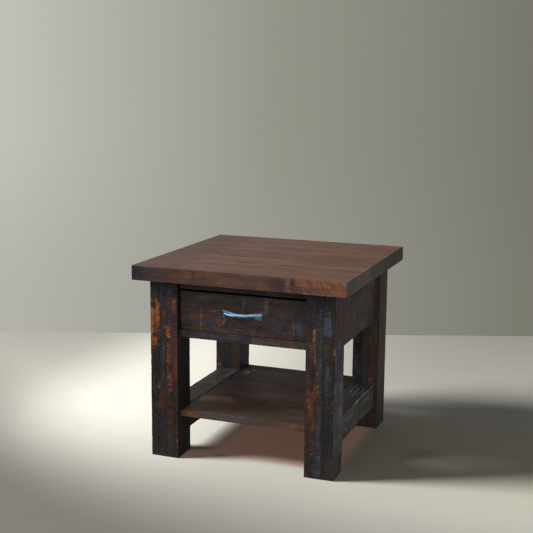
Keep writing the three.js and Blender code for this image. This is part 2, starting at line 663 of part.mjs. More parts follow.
function makeSlide(name, side) {
  const slide = new THREE.Group();
  slide.position.set(side * LEG_INNER_X, SLIDE_FRONT_Y, SLIDE_Z);
  table.add(slide);
  const add = (piece, finish, geometry) =>
    place(slide, `${name}_${piece}`, finish, onSlideSide(side, geometry));

  const outer = channel(...OUTER_WEB, MOUTH_X, SLIDE_HEIGHT / 2, SLIDE_SHEET, SLIDE_LENGTH);
  const middle = channel(...MIDDLE_WEB, MOUTH_X, MIDDLE_HALF_HEIGHT, SLIDE_SHEET, MIDDLE_LENGTH);
  const lip = INNER_CAGE_WEB[1] + RUNNING_GAP;
  const inner = channel(DRAWER_WEB[1], DRAWER_WEB[0], lip, DRAWER_HALF_HEIGHT, SLIDE_SHEET, SLIDE_LENGTH);
  const legHoles = screwPlaces(CABINET_SCREW_INSET).map((y) => cabinetScrew(y, SCREW_GAP));
  const boxHoles = screwPlaces(BOX_SCREW_INSET).map(boxScrewHole);
  add("slide_cabinet_member", "slideSteel", cut(outer, ...legHoles));
  add("slide_middle_member", "slideSteel", middle);
  add("slide_drawer_member", "slideSteel", cut(inner, ...boxHoles));

  const outerFlange = SLIDE_HEIGHT / 2 - SLIDE_SHEET;
  const innerFlange = MIDDLE_HALF_HEIGHT - SLIDE_SHEET;
  const outerCage = ballCage(OUTER_CAGE_WEB, OUTER_ROW_X, outerFlange, MIDDLE_LENGTH / 2);
  const innerCage = ballCage(INNER_CAGE_WEB, INNER_ROW_X, innerFlange, SLIDE_LENGTH / 2);
  add("slide_outer_ball_cage", "cageSteel", outerCage);
  add("slide_inner_ball_cage", "cageSteel", innerCage);

  ENDS.forEach(([endName], i) => {
    const cabinetScrewY = screwPlaces(CABINET_SCREW_INSET)[i];
    const boxScrewY = screwPlaces(BOX_SCREW_INSET)[i];
    add(`cabinet_member_${endName}_screw`, "screwSteel", cabinetScrew(cabinetScrewY, 0));
    add(`drawer_member_${endName}_screw`, "screwSteel", boxScrew(boxScrewY));
  });
}

// ---- Putting it together ------------------------------------------------------------------------

function makeDrawer() {
  const boxHoles = slideHoles(BOX_SCREW_INSET, boxScrewHole);
  boxHoles.forEach((hole) => hole.translate(0, -BOX_FRONT_Y, -BOX_BOTTOM_Z));
  for (const [name, side] of SIDES) {
    makeBoxSide(name, side, boxHoles);
  }
  makeBoxEnd("drawer_box_front", 0, BOX_ENDS[0], pullHoles());
  makeBoxEnd("drawer_box_back", BACK_BOARD_Y, BOX_ENDS[1], []);
  place(drawer, "drawer_bottom_panel", "drawerBoxWood", bottomPanel(0));

  const frontX = around(0, 2 * (LEG_INNER_X - DRAWER_GAP_BESIDE));
  const frontZ = [-BOX_STEP_UP, DRAWER_FRONT_HEIGHT - BOX_STEP_UP];
  const front = block(frontX, [-DRAWER_FRONT_THICKNESS - GLUE_LINE, -GLUE_LINE], frontZ);
  place(drawer, "drawer_front", "drawerFrontWood", cut(front, ...pullHoles()));
  place(drawer, "drawer_pull", "pullMetal", cut(pullBody(), ...pullHoles()));
  makePullScrews();
}

makeRails();
makeAprons();
makeStretchers();
makeLegs([...mortises, ...slideHoles(CABINET_SCREW_INSET, (y) => cabinetScrew(y, SCREW_GAP))]);
makeShelf();
makeTop();
makeDrawer();
for (const [name, side] of SIDES) {
  makeSlide(name, side);
}

export default table;
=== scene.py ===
import math
from itertools import product

import bmesh
import bpy
import numpy as np
from mathutils import Matrix, Vector


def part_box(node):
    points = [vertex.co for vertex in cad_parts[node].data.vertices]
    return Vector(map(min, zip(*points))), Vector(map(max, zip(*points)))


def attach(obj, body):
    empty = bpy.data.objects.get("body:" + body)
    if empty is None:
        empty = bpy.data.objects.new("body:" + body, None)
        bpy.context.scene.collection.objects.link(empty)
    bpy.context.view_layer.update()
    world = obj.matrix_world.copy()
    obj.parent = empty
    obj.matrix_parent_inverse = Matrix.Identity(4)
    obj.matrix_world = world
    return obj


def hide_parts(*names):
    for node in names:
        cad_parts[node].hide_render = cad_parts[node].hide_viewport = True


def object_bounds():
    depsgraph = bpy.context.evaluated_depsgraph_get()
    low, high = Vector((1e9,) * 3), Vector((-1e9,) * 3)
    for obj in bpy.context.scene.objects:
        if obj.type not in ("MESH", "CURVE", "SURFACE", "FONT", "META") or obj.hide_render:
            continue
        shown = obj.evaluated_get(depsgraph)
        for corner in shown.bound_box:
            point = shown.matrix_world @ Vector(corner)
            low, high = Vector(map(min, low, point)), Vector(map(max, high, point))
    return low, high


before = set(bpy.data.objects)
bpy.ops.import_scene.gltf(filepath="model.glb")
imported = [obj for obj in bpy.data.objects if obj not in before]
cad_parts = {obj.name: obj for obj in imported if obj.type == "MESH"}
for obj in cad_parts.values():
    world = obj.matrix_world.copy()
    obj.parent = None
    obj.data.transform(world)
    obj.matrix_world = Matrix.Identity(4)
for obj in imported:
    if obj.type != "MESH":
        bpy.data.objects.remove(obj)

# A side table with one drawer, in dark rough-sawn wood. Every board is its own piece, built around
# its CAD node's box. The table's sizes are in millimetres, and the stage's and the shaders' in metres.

MM = 0.001
cad_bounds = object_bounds()

SIDES = ("-x", "+x", "-y", "+y", "-z", "+z")
AXIS = {"x": 0, "y": 1, "z": 2}


# ---------------------------------------------------------------- camera, stage and light

CAMERA_PLACE = (1013.29, -2744.23, 1053.96)    # in millimetres, as its lens and sensor are
CAMERA_YAW = -20.759     # degrees from +Y towards +X
CAMERA_PITCH = 10.405    # degrees below level
CAMERA_ROLL = 0.487
CAMERA_LENS = 69.296
CAMERA_SENSOR = 36

# Each lamp: the way its light goes, in degrees from +X towards +Y; how many degrees above level it
# comes from; its distance and size; and its power.
LAMPS = {
    "key": (22.5, 32, 8.0, 2.5, 575),
    "floor_key": (22.5, 32, 8.0, 2.5, 300),    # from the key's place, for the floor alone
    "side_fill": (160, 14, 3.2, 2.2, 64),      # from low on the right, and the front
    "front_fill": (78, 24, 5.0, 3.0, 66),      # from beside the camera
    "back_fill": (-75, 16, 4.0, 3.0, 60),      # for the sides that the photograph doesn't show
}
LAMP_COLOUR = (1.0, 0.99, 0.965)
WORLD_LEVEL = 0.09

FLOOR_REACH = 7.0        # from the middle to the floor's edges
FLOOR_LIGHT = 0.79       # how bright the lamps make a white floor
FLOOR_FALL = 0.13        # how much less that is, a metre further to the right
FLOOR_LIT = (5.0, 2.0)   # the lamps don't reach past the first distance, and reach all up to the second
FLOOR_PAINT = 0.88       # the palest that the floor is painted
FLOOR_LOW = 0.19         # how bright the floor looks outside the lit part
# The floor's glow is painted light, and it glows at least this much even in the table's shadow.
FLOOR_HAZE = 0.014       # the least that it glows for the camera, in the deepest shadow
# Where the floor's painted pool of light lies.
POOL_X = -0.634          # where the brightest band of the floor runs
POOL_LEFT = 0.284        # how far that band fades on its left
POOL_RIGHT = 0.468       # and on its right
FLOOR_TINT = (1.0, 0.98, 0.885, 1)
# Painted shadow colour and painted bounce light, for where the table's shadow falls on the floor.
FLOOR_TINT_RIGHT = (1.0, 0.965, 0.8, 1)
UNDER_TINT = (1.0, 0.79, 0.66, 1)          # under the shelf, where the wood reddens the light
UNDER_GLOW = (0.082, 0.046, 0.033, 1)

WALL_PLACE = (-0.467, 1.160, 0)
WALL_HALF_WIDTH = 2.6
WALL_HEIGHT = 3.2
WALL_STOPS = (0.0, 0.24, 0.5, 0.76, 1.0)   # shares of the way from its left to its right
# The backdrop's painted light: its colours from left to right, along its top and along its bottom.
WALL_HIGH = ((205, 205, 199), (192, 191, 184), (149, 149, 138), (120, 119, 109), (104, 103, 94))
WALL_LOW = ((184, 182, 174), (179, 178, 169), (154, 153, 143), (124, 123, 112), (108, 107, 98))


def rgb(red, green, blue):
    """A colour written as it looks on screen, 0 to 255, as the linear values that nodes take."""
    shares = [value / 255 for value in (red, green, blue)]
    linear = [s / 12.92 if s <= 0.04045 else ((s + 0.055) / 1.055) ** 2.4 for s in shares]
    return (*linear, 1.0)


def new_object(name, data):
    made = bpy.data.objects.new(name, data)
    bpy.context.scene.collection.objects.link(made)
    return made


def make_camera():
    """The camera whose view of the table's corners is the photograph's."""
    yaw, pitch, roll = (math.radians(a) for a in (CAMERA_YAW, CAMERA_PITCH, CAMERA_ROLL))
    ahead = Vector((math.sin(yaw), math.cos(yaw), 0))
    forward = ahead * math.cos(pitch) - Vector((0, 0, math.sin(pitch)))
    level = Vector((math.cos(yaw), -math.sin(yaw), 0))
    upright = level.cross(forward)
    right = level * math.cos(roll) + upright * math.sin(roll)
    up = upright * math.cos(roll) - level * math.sin(roll)
    data = bpy.data.cameras.new("camera")
    data.lens = CAMERA_LENS
    data.sensor_width = CAMERA_SENSOR
    camera = new_object("camera", data)
    turn = Matrix((right, up, -forward)).transposed().to_4x4()
    camera.matrix_world = Matrix.Translation(Vector(CAMERA_PLACE) * MM) @ turn
    bpy.context.scene.camera = camera


make_camera()
bpy.context.scene.view_settings.view_transform = "Standard"


class Nodes:
    """A new material's node tree, with one short method for each kind of node."""

    def __init__(self, name, tree=None):
        if tree is None:
            self.material = bpy.data.materials.new(name)
            self.material.use_nodes = True
            tree = self.material.node_tree
        self.tree = tree
        self.tree.nodes.clear()

    def add(self, kind, inputs=None, **settings):
        """One node, with its settings made and its inputs linked or set."""
        node = self.tree.nodes.new(kind)
        for key, value in settings.items():
            setattr(node, key, value)
        for key, value in (inputs or {}).items():
            self.feed(node.inputs[key], value)
        return node

    def feed(self, socket, value):
        if isinstance(value, bpy.types.NodeSocket):
            self.tree.links.new(value, socket)
        else:
            socket.default_value = value

    def attribute(self, name):
        return self.add("ShaderNodeAttribute", attribute_name=name).outputs["Vector"]

    def parts(self, vector):
        """The three numbers of a vector."""
        return list(self.add("ShaderNodeSeparateXYZ", {0: vector}).outputs)

    def maths(self, operation, *values, clamp=False):
        inputs = dict(enumerate(values))
        return self.add("ShaderNodeMath", inputs, operation=operation, use_clamp=clamp).outputs[0]

    def times(self, first, second):
        return self.maths("MULTIPLY", first, second)

    def most(self, first, second, clamp=False):
        return self.maths("MAXIMUM", first, second, clamp=clamp)

    def swing(self, *pairs):
        """How far each value is from a half, times its weight, summed over the pairs."""
        total = 0.0
        for value, weight in pairs:
            total = self.maths("ADD", total, self.maths("MULTIPLY_ADD", value, weight, -weight / 2))
        return total

    def weighted(self, *pairs):
        """The sum of value times weight over the pairs."""
        total = 0.0
        for value, weight in pairs:
            total = self.maths("MULTIPLY_ADD", value, weight, total)
        return total

    def stretched(self, vector, scale):
        return self.add("ShaderNodeMapping", {"Vector": vector, "Scale": scale}).outputs[0]

    def noise(self, vector, scale, detail=3.0, roughness=0.55):
        """Noise from 0 to 1. scale is how many lumps there are to a unit of x, y and z."""
        place = self.stretched(vector, scale)
        inputs = {"Vector": place, "Scale": 1.0, "Detail": detail, "Roughness": roughness}
        return self.add("ShaderNodeTexNoise", inputs).outputs[0]

    def step(self, value, low, high):
        """0 up to low, 1 from high, and smooth between them."""
        inputs = {"Value": value, "From Min": low, "From Max": high}
        return self.add("ShaderNodeMapRange", inputs, interpolation_type="SMOOTHSTEP").outputs[0]

    def between(self, value, low, high, soft):
        """1 between low and high, and 0 beyond them."""
        above = self.step(value, low - soft, low + soft)
        below = self.step(value, high + soft, high - soft)
        return self.times(above, below)

    def ramp(self, value, *stops):
        """A colour for each value, from (value, colour) stops."""
        node = self.add("ShaderNodeValToRGB", {0: value})
        elements = node.color_ramp.elements
        elements.remove(elements[1])
        elements[0].position, elements[0].color = stops[0]
        for place, colour in stops[1:]:
            elements.new(place).color = colour
        return node.outputs[0]

    def mix(self, share, first, second, blend="MIX"):
        inputs = {0: share, 6: first, 7: second}
        return self.add("ShaderNodeMix", inputs, data_type="RGBA", blend_type=blend).outputs[2]

    def grey(self, shade):
        return self.add("ShaderNodeCombineXYZ", {0: shade, 1: shade, 2: shade}).outputs[0]

    def bump(self, height, distance, strength):
        inputs = {"Height": height, "Distance": distance, "Strength": strength}
        return self.add("ShaderNodeBump", inputs).outputs[0]

    def surface(self, color, **sockets):
        """Ends the tree in one Principled shader."""
        named = {key.replace("_", " "): value for key, value in sockets.items()}
        inputs = {"Base Color": color, **named}
        shader = self.add("ShaderNodeBsdfPrincipled", inputs)
        self.add("ShaderNodeOutputMaterial", {"Surface": shader.outputs[0]})
        return self.material


def seen_directly(n):
    """1 for a ray from the camera, or one that metal or glass sends on to the background."""
    path = n.add("ShaderNodeLightPath").outputs
    shine = n.most(path["Is Glossy Ray"], path["Is Transmission Ray"])
    return n.most(path["Is Camera Ray"], shine)


def plane(name, corners, material):
    mesh = bpy.data.meshes.new(name)
    mesh.from_pydata(corners, [], [(0, 1, 2, 3)])
    mesh.materials.append(material)
    made = new_object(name, mesh)
    return made


def floor_material():
    """Pale studio paper with a painted pool of light. It is brightest in a soft band to the left of the
    table, and darkens towards the front left. Where it should look brighter than the lamps make it, what
    a camera sees glows, as painted light."""
    n = Nodes("floor_paper")
    place = n.add("ShaderNodeTexCoord").outputs["Object"]
    x, y, _ = n.parts(place)

    # How bright the floor should look, a painted pool of light: the band, and less in front of a bent
    # line.
    bend = n.times(n.times(x, x), -0.2)
    front_line = n.weighted((y, 1.0), (x, 0.27), (bend, 1.0), (1.0, 0.465))
    inside = n.step(front_line, -0.36, 0.36)
    off_left = n.weighted((x, -1 / POOL_LEFT), (1.0, POOL_X / POOL_LEFT))
    off_right = n.weighted((x, 1 / POOL_RIGHT), (1.0, -POOL_X / POOL_RIGHT))
    off = n.most(off_left, off_right)
    pool = n.maths("EXPONENT", n.times(n.times(off, off), -1.0))
    lit = n.weighted((pool, 0.5), (y, -0.11), (1.0, 0.53 - FLOOR_LOW))
    target = n.weighted((n.times(n.most(lit, 0.0), inside), 1.0), (1.0, FLOOR_LOW))
    speckle = n.noise(place, (9, 9, 9), 5.0)
    target = n.times(target, n.weighted((speckle, 0.06), (1.0, 0.97)))

    # The paint does what it can of that, and the glow, painted light, does the rest.
    light = n.most(n.weighted((x, -FLOOR_FALL), (1.0, FLOOR_LIGHT)), 0.4)
    paint = n.maths("MINIMUM", n.maths("DIVIDE", target, light), FLOOR_PAINT)
    away = n.add("ShaderNodeVectorMath", {0: place}, operation="LENGTH").outputs[1]
    reached = n.times(light, n.step(away, *FLOOR_LIT))
    glow = n.most(n.maths("SUBTRACT", target, n.times(paint, reached)), FLOOR_HAZE)

    # Painted shadow: the paint is darker where light gets through between the apron and the shelf, so
    # that the table's shadow there looks even.
    gap_painted_shadow = n.times(n.between(x, 0.41, 0.6, 0.07), n.between(y, -0.03, 0.055, 0.035))
    paint = n.times(paint, n.weighted((gap_painted_shadow, -0.32), (1.0, 1.0)))

    # Painted shadow colour and painted bounce light: it is redder under the shelf and beside the front
    # left leg, in their shadows, where a dim red glow takes the place of the usual one, and yellower to
    # the right, in the table's shadow.
    in_depth = n.between(y, -0.2, 0.2, 0.015)
    under = n.times(n.between(x, -0.13, 0.25, 0.03), in_depth)
    reddened = n.times(n.between(x, -0.11, 0.25, 0.1), in_depth)
    drifted = n.weighted((y, 1.0), (x, -0.41), (1.0, -0.076))
    in_leg_shadow = n.times(n.between(x, -0.19, -0.1, 0.012), n.between(drifted, -0.262, -0.192, 0.01))
    to_right = n.times(n.between(x, 0.25, 1.2, 0.15), n.between(y, -0.25, 0.35, 0.1))
    tint = n.mix(to_right, FLOOR_TINT, FLOOR_TINT_RIGHT)
    tint = n.mix(reddened, tint, UNDER_TINT)
    colour = n.mix(1.0, tint, n.grey(paint), "MULTIPLY")
    glow_colour = n.mix(1.0, tint, n.grey(glow), "MULTIPLY")
    glow_colour = n.mix(n.most(under, in_leg_shadow), glow_colour, UNDER_GLOW)
    return n.surface(
        colour, Roughness=0.9, Specular_IOR_Level=0.0, Emission_Color=glow_colour,
        Emission_Strength=seen_directly(n))


def wall_material():
    """A backdrop that glows with painted light, paler on its left and darker to its right, seen from its
    front only, that neither lights the table nor shades it.
    """
    n = Nodes("backdrop")
    x, _, z = n.parts(n.add("ShaderNodeTexCoord").outputs["Object"])
    place = n.maths("MULTIPLY_ADD", x, 0.25, 0.5)
    high, low = (
        n.ramp(place, *zip(WALL_STOPS, (rgb(*colour) for colour in colours)))
        for colours in (WALL_HIGH, WALL_LOW))
    colour = n.mix(n.step(z, 0.1, 0.9), low, high)
    glow = n.add("ShaderNodeEmission", {"Color": colour}).outputs[0]
    clear = n.add("ShaderNodeBsdfTransparent").outputs[0]
    behind = n.add("ShaderNodeNewGeometry").outputs["Backfacing"]
    hidden = n.most(behind, n.maths("SUBTRACT", 1.0, seen_directly(n)))
    shown = n.add("ShaderNodeMixShader", {0: hidden, 1: glow, 2: clear}).outputs[0]
    n.add("ShaderNodeOutputMaterial", {"Surface": shown})
    return n.material


def make_stage():
    """The floor and the wall. The floor is returned."""
    far, wide, high = FLOOR_REACH, WALL_HALF_WIDTH, WALL_HEIGHT
    corners = [(-far, -far, 0), (far, -far, 0), (far, far, 0), (-far, far, 0)]
    floor = plane("floor", corners, floor_material())
    corners = [(-wide, 0, 0), (wide, 0, 0), (wide, 0, high), (-wide, 0, high)]
    wall = plane("wall", corners, wall_material())
    wall.location = WALL_PLACE
    wall.rotation_euler = (0, 0, math.radians(-CAMERA_YAW))
    wall.visible_shadow = False
    wall.visible_diffuse = False
    return floor


def soft_lamp(name, travel, height, distance, size, power):
    """A round lamp that faces the table."""
    travel, height = math.radians(travel), math.radians(height)
    level = Vector((math.cos(travel), math.sin(travel), 0))
    way = level * math.cos(height) - Vector((0, 0, math.sin(height)))
    data = bpy.data.lights.new(name, "AREA")
    data.shape = "DISK"
    data.size = size
    data.energy = power
    data.color = LAMP_COLOUR
    lamp = new_object(name, data)
    lamp.location = (cad_bounds[0] + cad_bounds[1]) / 2 - way * distance
    lamp.rotation_euler = way.to_track_quat("-Z", "Y").to_euler()
    return lamp


def make_lights(floor):
    """The fills leave out the floor, so that they don't wash out its shadow. The floor's own key lets
    it be pale with no more light on the table."""
    lamps = {name: soft_lamp(name, *setting) for name, setting in LAMPS.items()}
    lamps["back_fill"].visible_glossy = False
    fills = ("side_fill", "front_fill", "back_fill")
    links = (("left_out_of_fills", "EXCLUDE", fills), ("floor_only", "INCLUDE", ("floor_key",)))
    for group_name, state, names in links:
        group = bpy.data.collections.new(group_name)
        group.objects.link(floor)
        group.collection_objects[0].light_linking.link_state = state
        for name in names:
            lamps[name].light_linking.receiver_collection = group
    world = bpy.data.worlds.new("studio")
    world.use_nodes = True
    bpy.context.scene.world = world
    n = Nodes("studio", world.node_tree)
    lit, seen = (
        n.add("ShaderNodeBackground", {"Color": colour, "Strength": level}).outputs[0]
        for colour, level in (((1.0, 0.99, 0.96, 1), WORLD_LEVEL), (rgb(168, 167, 158), 1.0)))
    shown = n.add("ShaderNodeMixShader", {0: seen_directly(n), 1: lit, 2: seen}).outputs[0]
    n.add("ShaderNodeOutputWorld", {"Surface": shown})


make_lights(make_stage())


# ---------------------------------------------------------------- noise and meshes

SCATTER = (73856093, 19349663, 83492791)    # large primes, for x, y and z
SCATTER_SEED = 2654435761
SCATTER_MIX = 1274126177


def smooth_noise(points, seed):
    """Noise from -1 to 1 at each point, one unit from one of its lattice points to the next."""
    cell = np.floor(points).astype(np.int64)
    part = points - cell
    part = part * part * (3 - 2 * part)
    total = np.zeros(len(points))
    for corner in product((0, 1), repeat=3):
        key = np.bitwise_xor.reduce((cell + corner) * SCATTER, axis=1) ^ (seed * SCATTER_SEED)
        key &= 0xFFFFFFFF
        key = ((key ^ (key >> 13)) * SCATTER_MIX) & 0xFFFFFFFF
        value = ((key ^ (key >> 16)) & 0xFFFF) / 32767.5 - 1
        total += value * np.prod(np.where(corner, part, 1 - part), axis=1)
    return total


def fractal(points, sizes, seed, octaves=3):
    """Smooth noise, with finer noise on top. sizes says how long its lumps are along x, y and z."""
    scaled = points / sizes
    total = sum(smooth_noise(scaled * 2**k + 17.3 * k, seed + k) / 2**k for k in range(octaves))
    return total / (2 - 2.0 ** (1 - octaves))


def ease(values, low, high):
    """0 up to low, 1 from high, and smooth between them."""
    t = np.clip((values - low) / (high - low), 0, 1)
    return t * t * (3 - 2 * t)


def seed_of(name):
    return sum((k + 1) * ord(letter) for k, letter in enumerate(name)) % 9973


def mesh_object(name, points, faces, material, attributes=None, uvs=None):
    """A smooth-shaded mesh from points in millimetres, with its attributes and its own map."""
    mesh = bpy.data.meshes.new(name)
    mesh.from_pydata(np.asarray(points, float) * MM, [], faces)
    mesh.polygons.foreach_set("use_smooth", np.ones(len(mesh.polygons), bool))
    for key, values in (attributes or {}).items():
        layer = mesh.attributes.new(key, "FLOAT_VECTOR", "POINT")
        layer.data.foreach_set("vector", np.asarray(values, np.float32).ravel())
    if uvs is not None:
        layer = mesh.uv_layers.new(name="OFBake")
        layer.data.foreach_set("uv", np.asarray(uvs, np.float32).ravel())
    mesh.materials.append(material)
    mesh.update()
    return new_object(name, mesh)


def stands_for(piece, node, body):
    """The piece is shown in place of the CAD node, and moves with its body."""
    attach(piece, body)
    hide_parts(node)


def surface_lattice(lines):
    """The points on the outside of a block cut along these lines, its quads, and each quad's side."""
    grid = np.stack(np.meshgrid(*lines, indexing="ij"), axis=-1)
    outside = np.zeros(grid.shape[:3], bool)
    for axis in range(3):
        for end in (0, -1):
            outside[tuple(end if k == axis else slice(None) for k in range(3))] = True
    number = np.full(grid.shape[:3], -1)
    number[outside] = np.arange(outside.sum())
    quads, sides = [], []
    for axis in range(3):
        for side, end in ((2 * axis, 0), (2 * axis + 1, -1)):
            sheet = np.take(number, end, axis=axis)
            quad = np.stack([sheet[:-1, :-1], sheet[1:, :-1], sheet[1:, 1:], sheet[:-1, 1:]], axis=-1)
            quad = quad.reshape(-1, 4)
            outward = (end == -1) != (axis == 1)
            quads.append(quad if outward else quad[:, ::-1])
            sides.append(np.full(len(quad), side))
    return grid[outside], np.concatenate(quads), np.concatenate(sides)


def edge_lines(low, high, reach, step):
    """Places along one edge of a board, closer together where its arrises are rounded."""
    near = reach * np.array([0, 0.1, 0.25, 0.45, 0.7])
    count = max(2, int(round((high - low - 2 * reach) / step)) + 1)
    return np.concatenate([low + near, np.linspace(low + reach, high - reach, count), high - near[::-1]])


def block_map(points, quads, sides, grain, lo, hi):
    """A map with each of the four long sides in a row, and the two ends beside each other in the last."""
    gap = 4.0
    size = hi - lo
    others = [k for k in range(3) if k != grain]
    corners = points[quads] - lo
    uv = np.zeros((len(quads), 4, 2))
    row = gap
    for side in range(6):
        if side // 2 == grain:
            continue
        across = next(k for k in others if k != side // 2)
        chosen = sides == side
        uv[chosen] = corners[chosen][..., [grain, across]] + (gap, row)
        row += size[across] + gap
    wide, thin = sorted(others, key=lambda k: -size[k])
    for end in (0, 1):
        chosen = sides == 2 * grain + end
        uv[chosen] = corners[chosen][..., [wide, thin]] + (gap + end * (size[wide] + gap), row)
    row += size[thin] + gap
    return uv / max(row, size[grain] + 2 * gap, 2 * size[wide] + 3 * gap)


# ---------------------------------------------------------------- wood

VIOLET_TINT = (0.98, 0.87, 1.16, 1.0)
OLIVE_TINT = (1.02, 1.0, 0.76, 1.0)
SCUFF = rgb(150, 165, 172)
# Near black, for pores, kerfs and dirt, and for the painted shade that dark patches give in gaps and on
# inner sides.
SOOT_AND_SHADE = rgb(14, 11, 11)


def wood(name, tones, worn, gloss, stains, saw=0.4, contrast=1.0, hues=0.5, fibre=1.0, flecked=0.6,
         sheen=0.35, even=False):
    """Stained wood. The board's attributes say where each stain, the wear, the end grain, and the painted
    shade and highlights are. hues is how far the colour drifts, fibre how much the grain shows, and
    flecked how far the amber breaks up into dashes. An even wood has the same roughness all over."""
    amber, slate, russet, end = (
        [rgb(*colour) for colour in stains[kind]] for kind in ("amber", "slate", "russet", "end"))
    tones = [rgb(*colour) for colour in tones]
    n = Nodes(name)
    grain = n.attribute("grain")
    shares = n.parts(n.attribute("stain"))
    wear_and_painted_light, dark, cut = n.parts(n.attribute("wear_and_painted_light"))
    tone, sawn, phase = n.parts(n.attribute("tone"))
    sawn = n.times(sawn, n.weighted((n.step(shares[0], 0.3, 1.0), -0.6), (1.0, 1.0)))
    violet, olive, scuff = n.parts(n.attribute("tint"))
    _, across, through = n.parts(grain)

    # What grows in the wood: rings, bands, streaks, pores and blotches.
    wander = n.noise(grain, (3.1, 26, 26), 2.0)
    shifts = {1: n.times(wander, 0.022), 2: n.times(wander, 0.017)}
    shift = n.add("ShaderNodeCombineXYZ", shifts).outputs[0]
    drawn_out = {0: n.stretched(grain, (0.05, 1, 1)), 1: shift}
    ring_place = n.add("ShaderNodeVectorMath", drawn_out, operation="ADD").outputs[0]
    ring_inputs = {"Vector": ring_place, "Scale": 68.0, "Distortion": 0.0}
    rings = n.add(
        "ShaderNodeTexWave", ring_inputs, wave_type="RINGS", rings_direction="X").outputs[1]
    bands = n.noise(grain, (2.6, 42, 42))
    streaks = n.noise(grain, (9, 230, 230), 4.0, 0.62)
    pores = n.noise(grain, (55, 1300, 1300), 2.0)
    blotch = n.noise(grain, (24, 40, 40), 4.0, 0.6)
    hue = n.noise(grain, (13, 60, 60), 4.0, 0.65)
    drift = n.noise(grain, (9, 24, 24))
    grit = n.noise(grain, (250, 480, 480), 3.0, 0.6)
    scratch = n.noise(grain, (12, 230, 230), 3.0, 0.6)
    flecks = n.noise(grain, (62, 420, 420), 2.0, 0.5)

    # What the saw left: kerfs that follow the phase attribute, and finer marks beside them.
    kerf_place = n.add("ShaderNodeCombineXYZ", {0: phase, 1: across, 2: through}).outputs[0]
    hatch = n.noise(kerf_place, (2.1, 90, 90), 3.0, 0.6)
    strokes = n.noise(kerf_place, (0.6, 46, 46), 3.0, 0.6)
    lines = n.times(n.swing((hatch, 1.5 * saw), (strokes, 1.2 * saw)), sawn)
    wave = n.maths("COSINE", n.times(phase, math.tau))
    ragged = n.maths("ADD", wave, n.swing((strokes, 2.2), (grit, 1.2), (blotch, 1.4)))
    groove = n.times(n.step(ragged, 0.1, 1.0), sawn)

    value = n.swing(
        (bands, 1.1 * contrast * fibre), (streaks, 1.3 * contrast * fibre), (rings, 0.12 * contrast),
        (blotch, 0.9 * contrast), (grit, 0.8 * contrast))
    value = n.weighted((value, 1.0), (lines, 1.3), (tone, 1.0), (groove, -0.3), (1.0, 0.5))
    colour = n.ramp(value, *zip((0.15, 0.42, 0.6, 0.9), tones))
    colour = n.mix(n.times(n.step(hue, 0.5, 0.7), 0.35), colour, slate[1])
    colour = n.mix(n.times(n.step(hue, 0.5, 0.32), 0.3), colour, russet[1])

    # Stains, whose edges the grain and the saw marks break up. A stronger one is paler too.
    broken = n.swing((streaks, 0.6 * fibre), (blotch, 1.4), (bands, 0.5 * fibre), (grit, 0.9))
    broken = n.weighted((broken, 1.0), (lines, 1.7), (groove, -0.35))
    dashed = n.weighted((broken, 0.8), (n.swing((flecks, flecked)), 1.0), (lines, 1.5))
    laid_on = ((slate, 0.28, broken), (russet, 0.28, broken), (amber, 0.45, dashed))
    for share, ((low, high), edge, breaks) in zip(shares, laid_on):
        depth = n.weighted((value, 1.0), (share, 0.7), (1.0, -0.45))
        shade = n.mix(n.step(depth, 0.2, 0.85), low, high)
        seen = n.step(n.maths("ADD", share, breaks), edge, edge + 0.4)
        colour = n.mix(n.times(seen, n.step(share, 0.0, 0.2)), colour, shade)
    cool = n.maths("MULTIPLY_ADD", n.step(drift, 0.5, 0.68), hues, violet, clamp=True)
    warm = n.maths("MULTIPLY_ADD", n.step(drift, 0.5, 0.32), hues, olive, clamp=True)
    colour = n.mix(cool, colour, VIOLET_TINT, "MULTIPLY")
    colour = n.mix(warm, colour, OLIVE_TINT, "MULTIPLY")

    # The ends, the rubbed arrises, which on the top and the shelf are also a painted highlight, scuffs,
    # pores, kerfs, and dirt and painted shade.
    end_grain = n.ramp(value, *zip((0.25, 0.5, 0.75), end))
    colour = n.mix(n.times(cut, 0.8), colour, end_grain)
    rubbed_and_highlight = n.step(n.maths("MULTIPLY_ADD", broken, 0.7, wear_and_painted_light), 0.45, 0.8)
    rubbed_and_highlight = n.times(rubbed_and_highlight, n.step(wear_and_painted_light, 0.0, 0.2))
    colour = n.mix(rubbed_and_highlight, colour, rgb(*worn))
    scuffed = n.step(n.maths("ADD", scuff, n.swing((scratch, 2.6), (grit, 0.8))), 0.55, 0.8)
    colour = n.mix(n.times(scuffed, n.step(scuff, 0.0, 0.3)), colour, SCUFF)
    colour = n.mix(n.times(n.step(pores, 0.58, 0.7), 0.2), colour, SOOT_AND_SHADE)
    colour = n.mix(n.times(groove, 0.5), colour, SOOT_AND_SHADE)
    colour = n.mix(n.step(n.maths("MULTIPLY_ADD", broken, 0.35, dark), 0.05, 0.95), colour, SOOT_AND_SHADE)
    rough = n.weighted(
        (streaks, 0.16), (hatch, 0.12), (blotch, 0.2), (rubbed_and_highlight, -0.06), (1.0, gloss - 0.24))
    height = n.weighted(
        (streaks, 0.5), (pores, 0.2), (rings, 0.06), (lines, 0.45), (groove, -0.35), (grit, 0.2))
    normal = n.bump(height, 0.0009, 0.8)
    rough = gloss if even else rough
    return n.surface(colour, Roughness=rough, Specular_IOR_Level=sheen, Normal=normal)


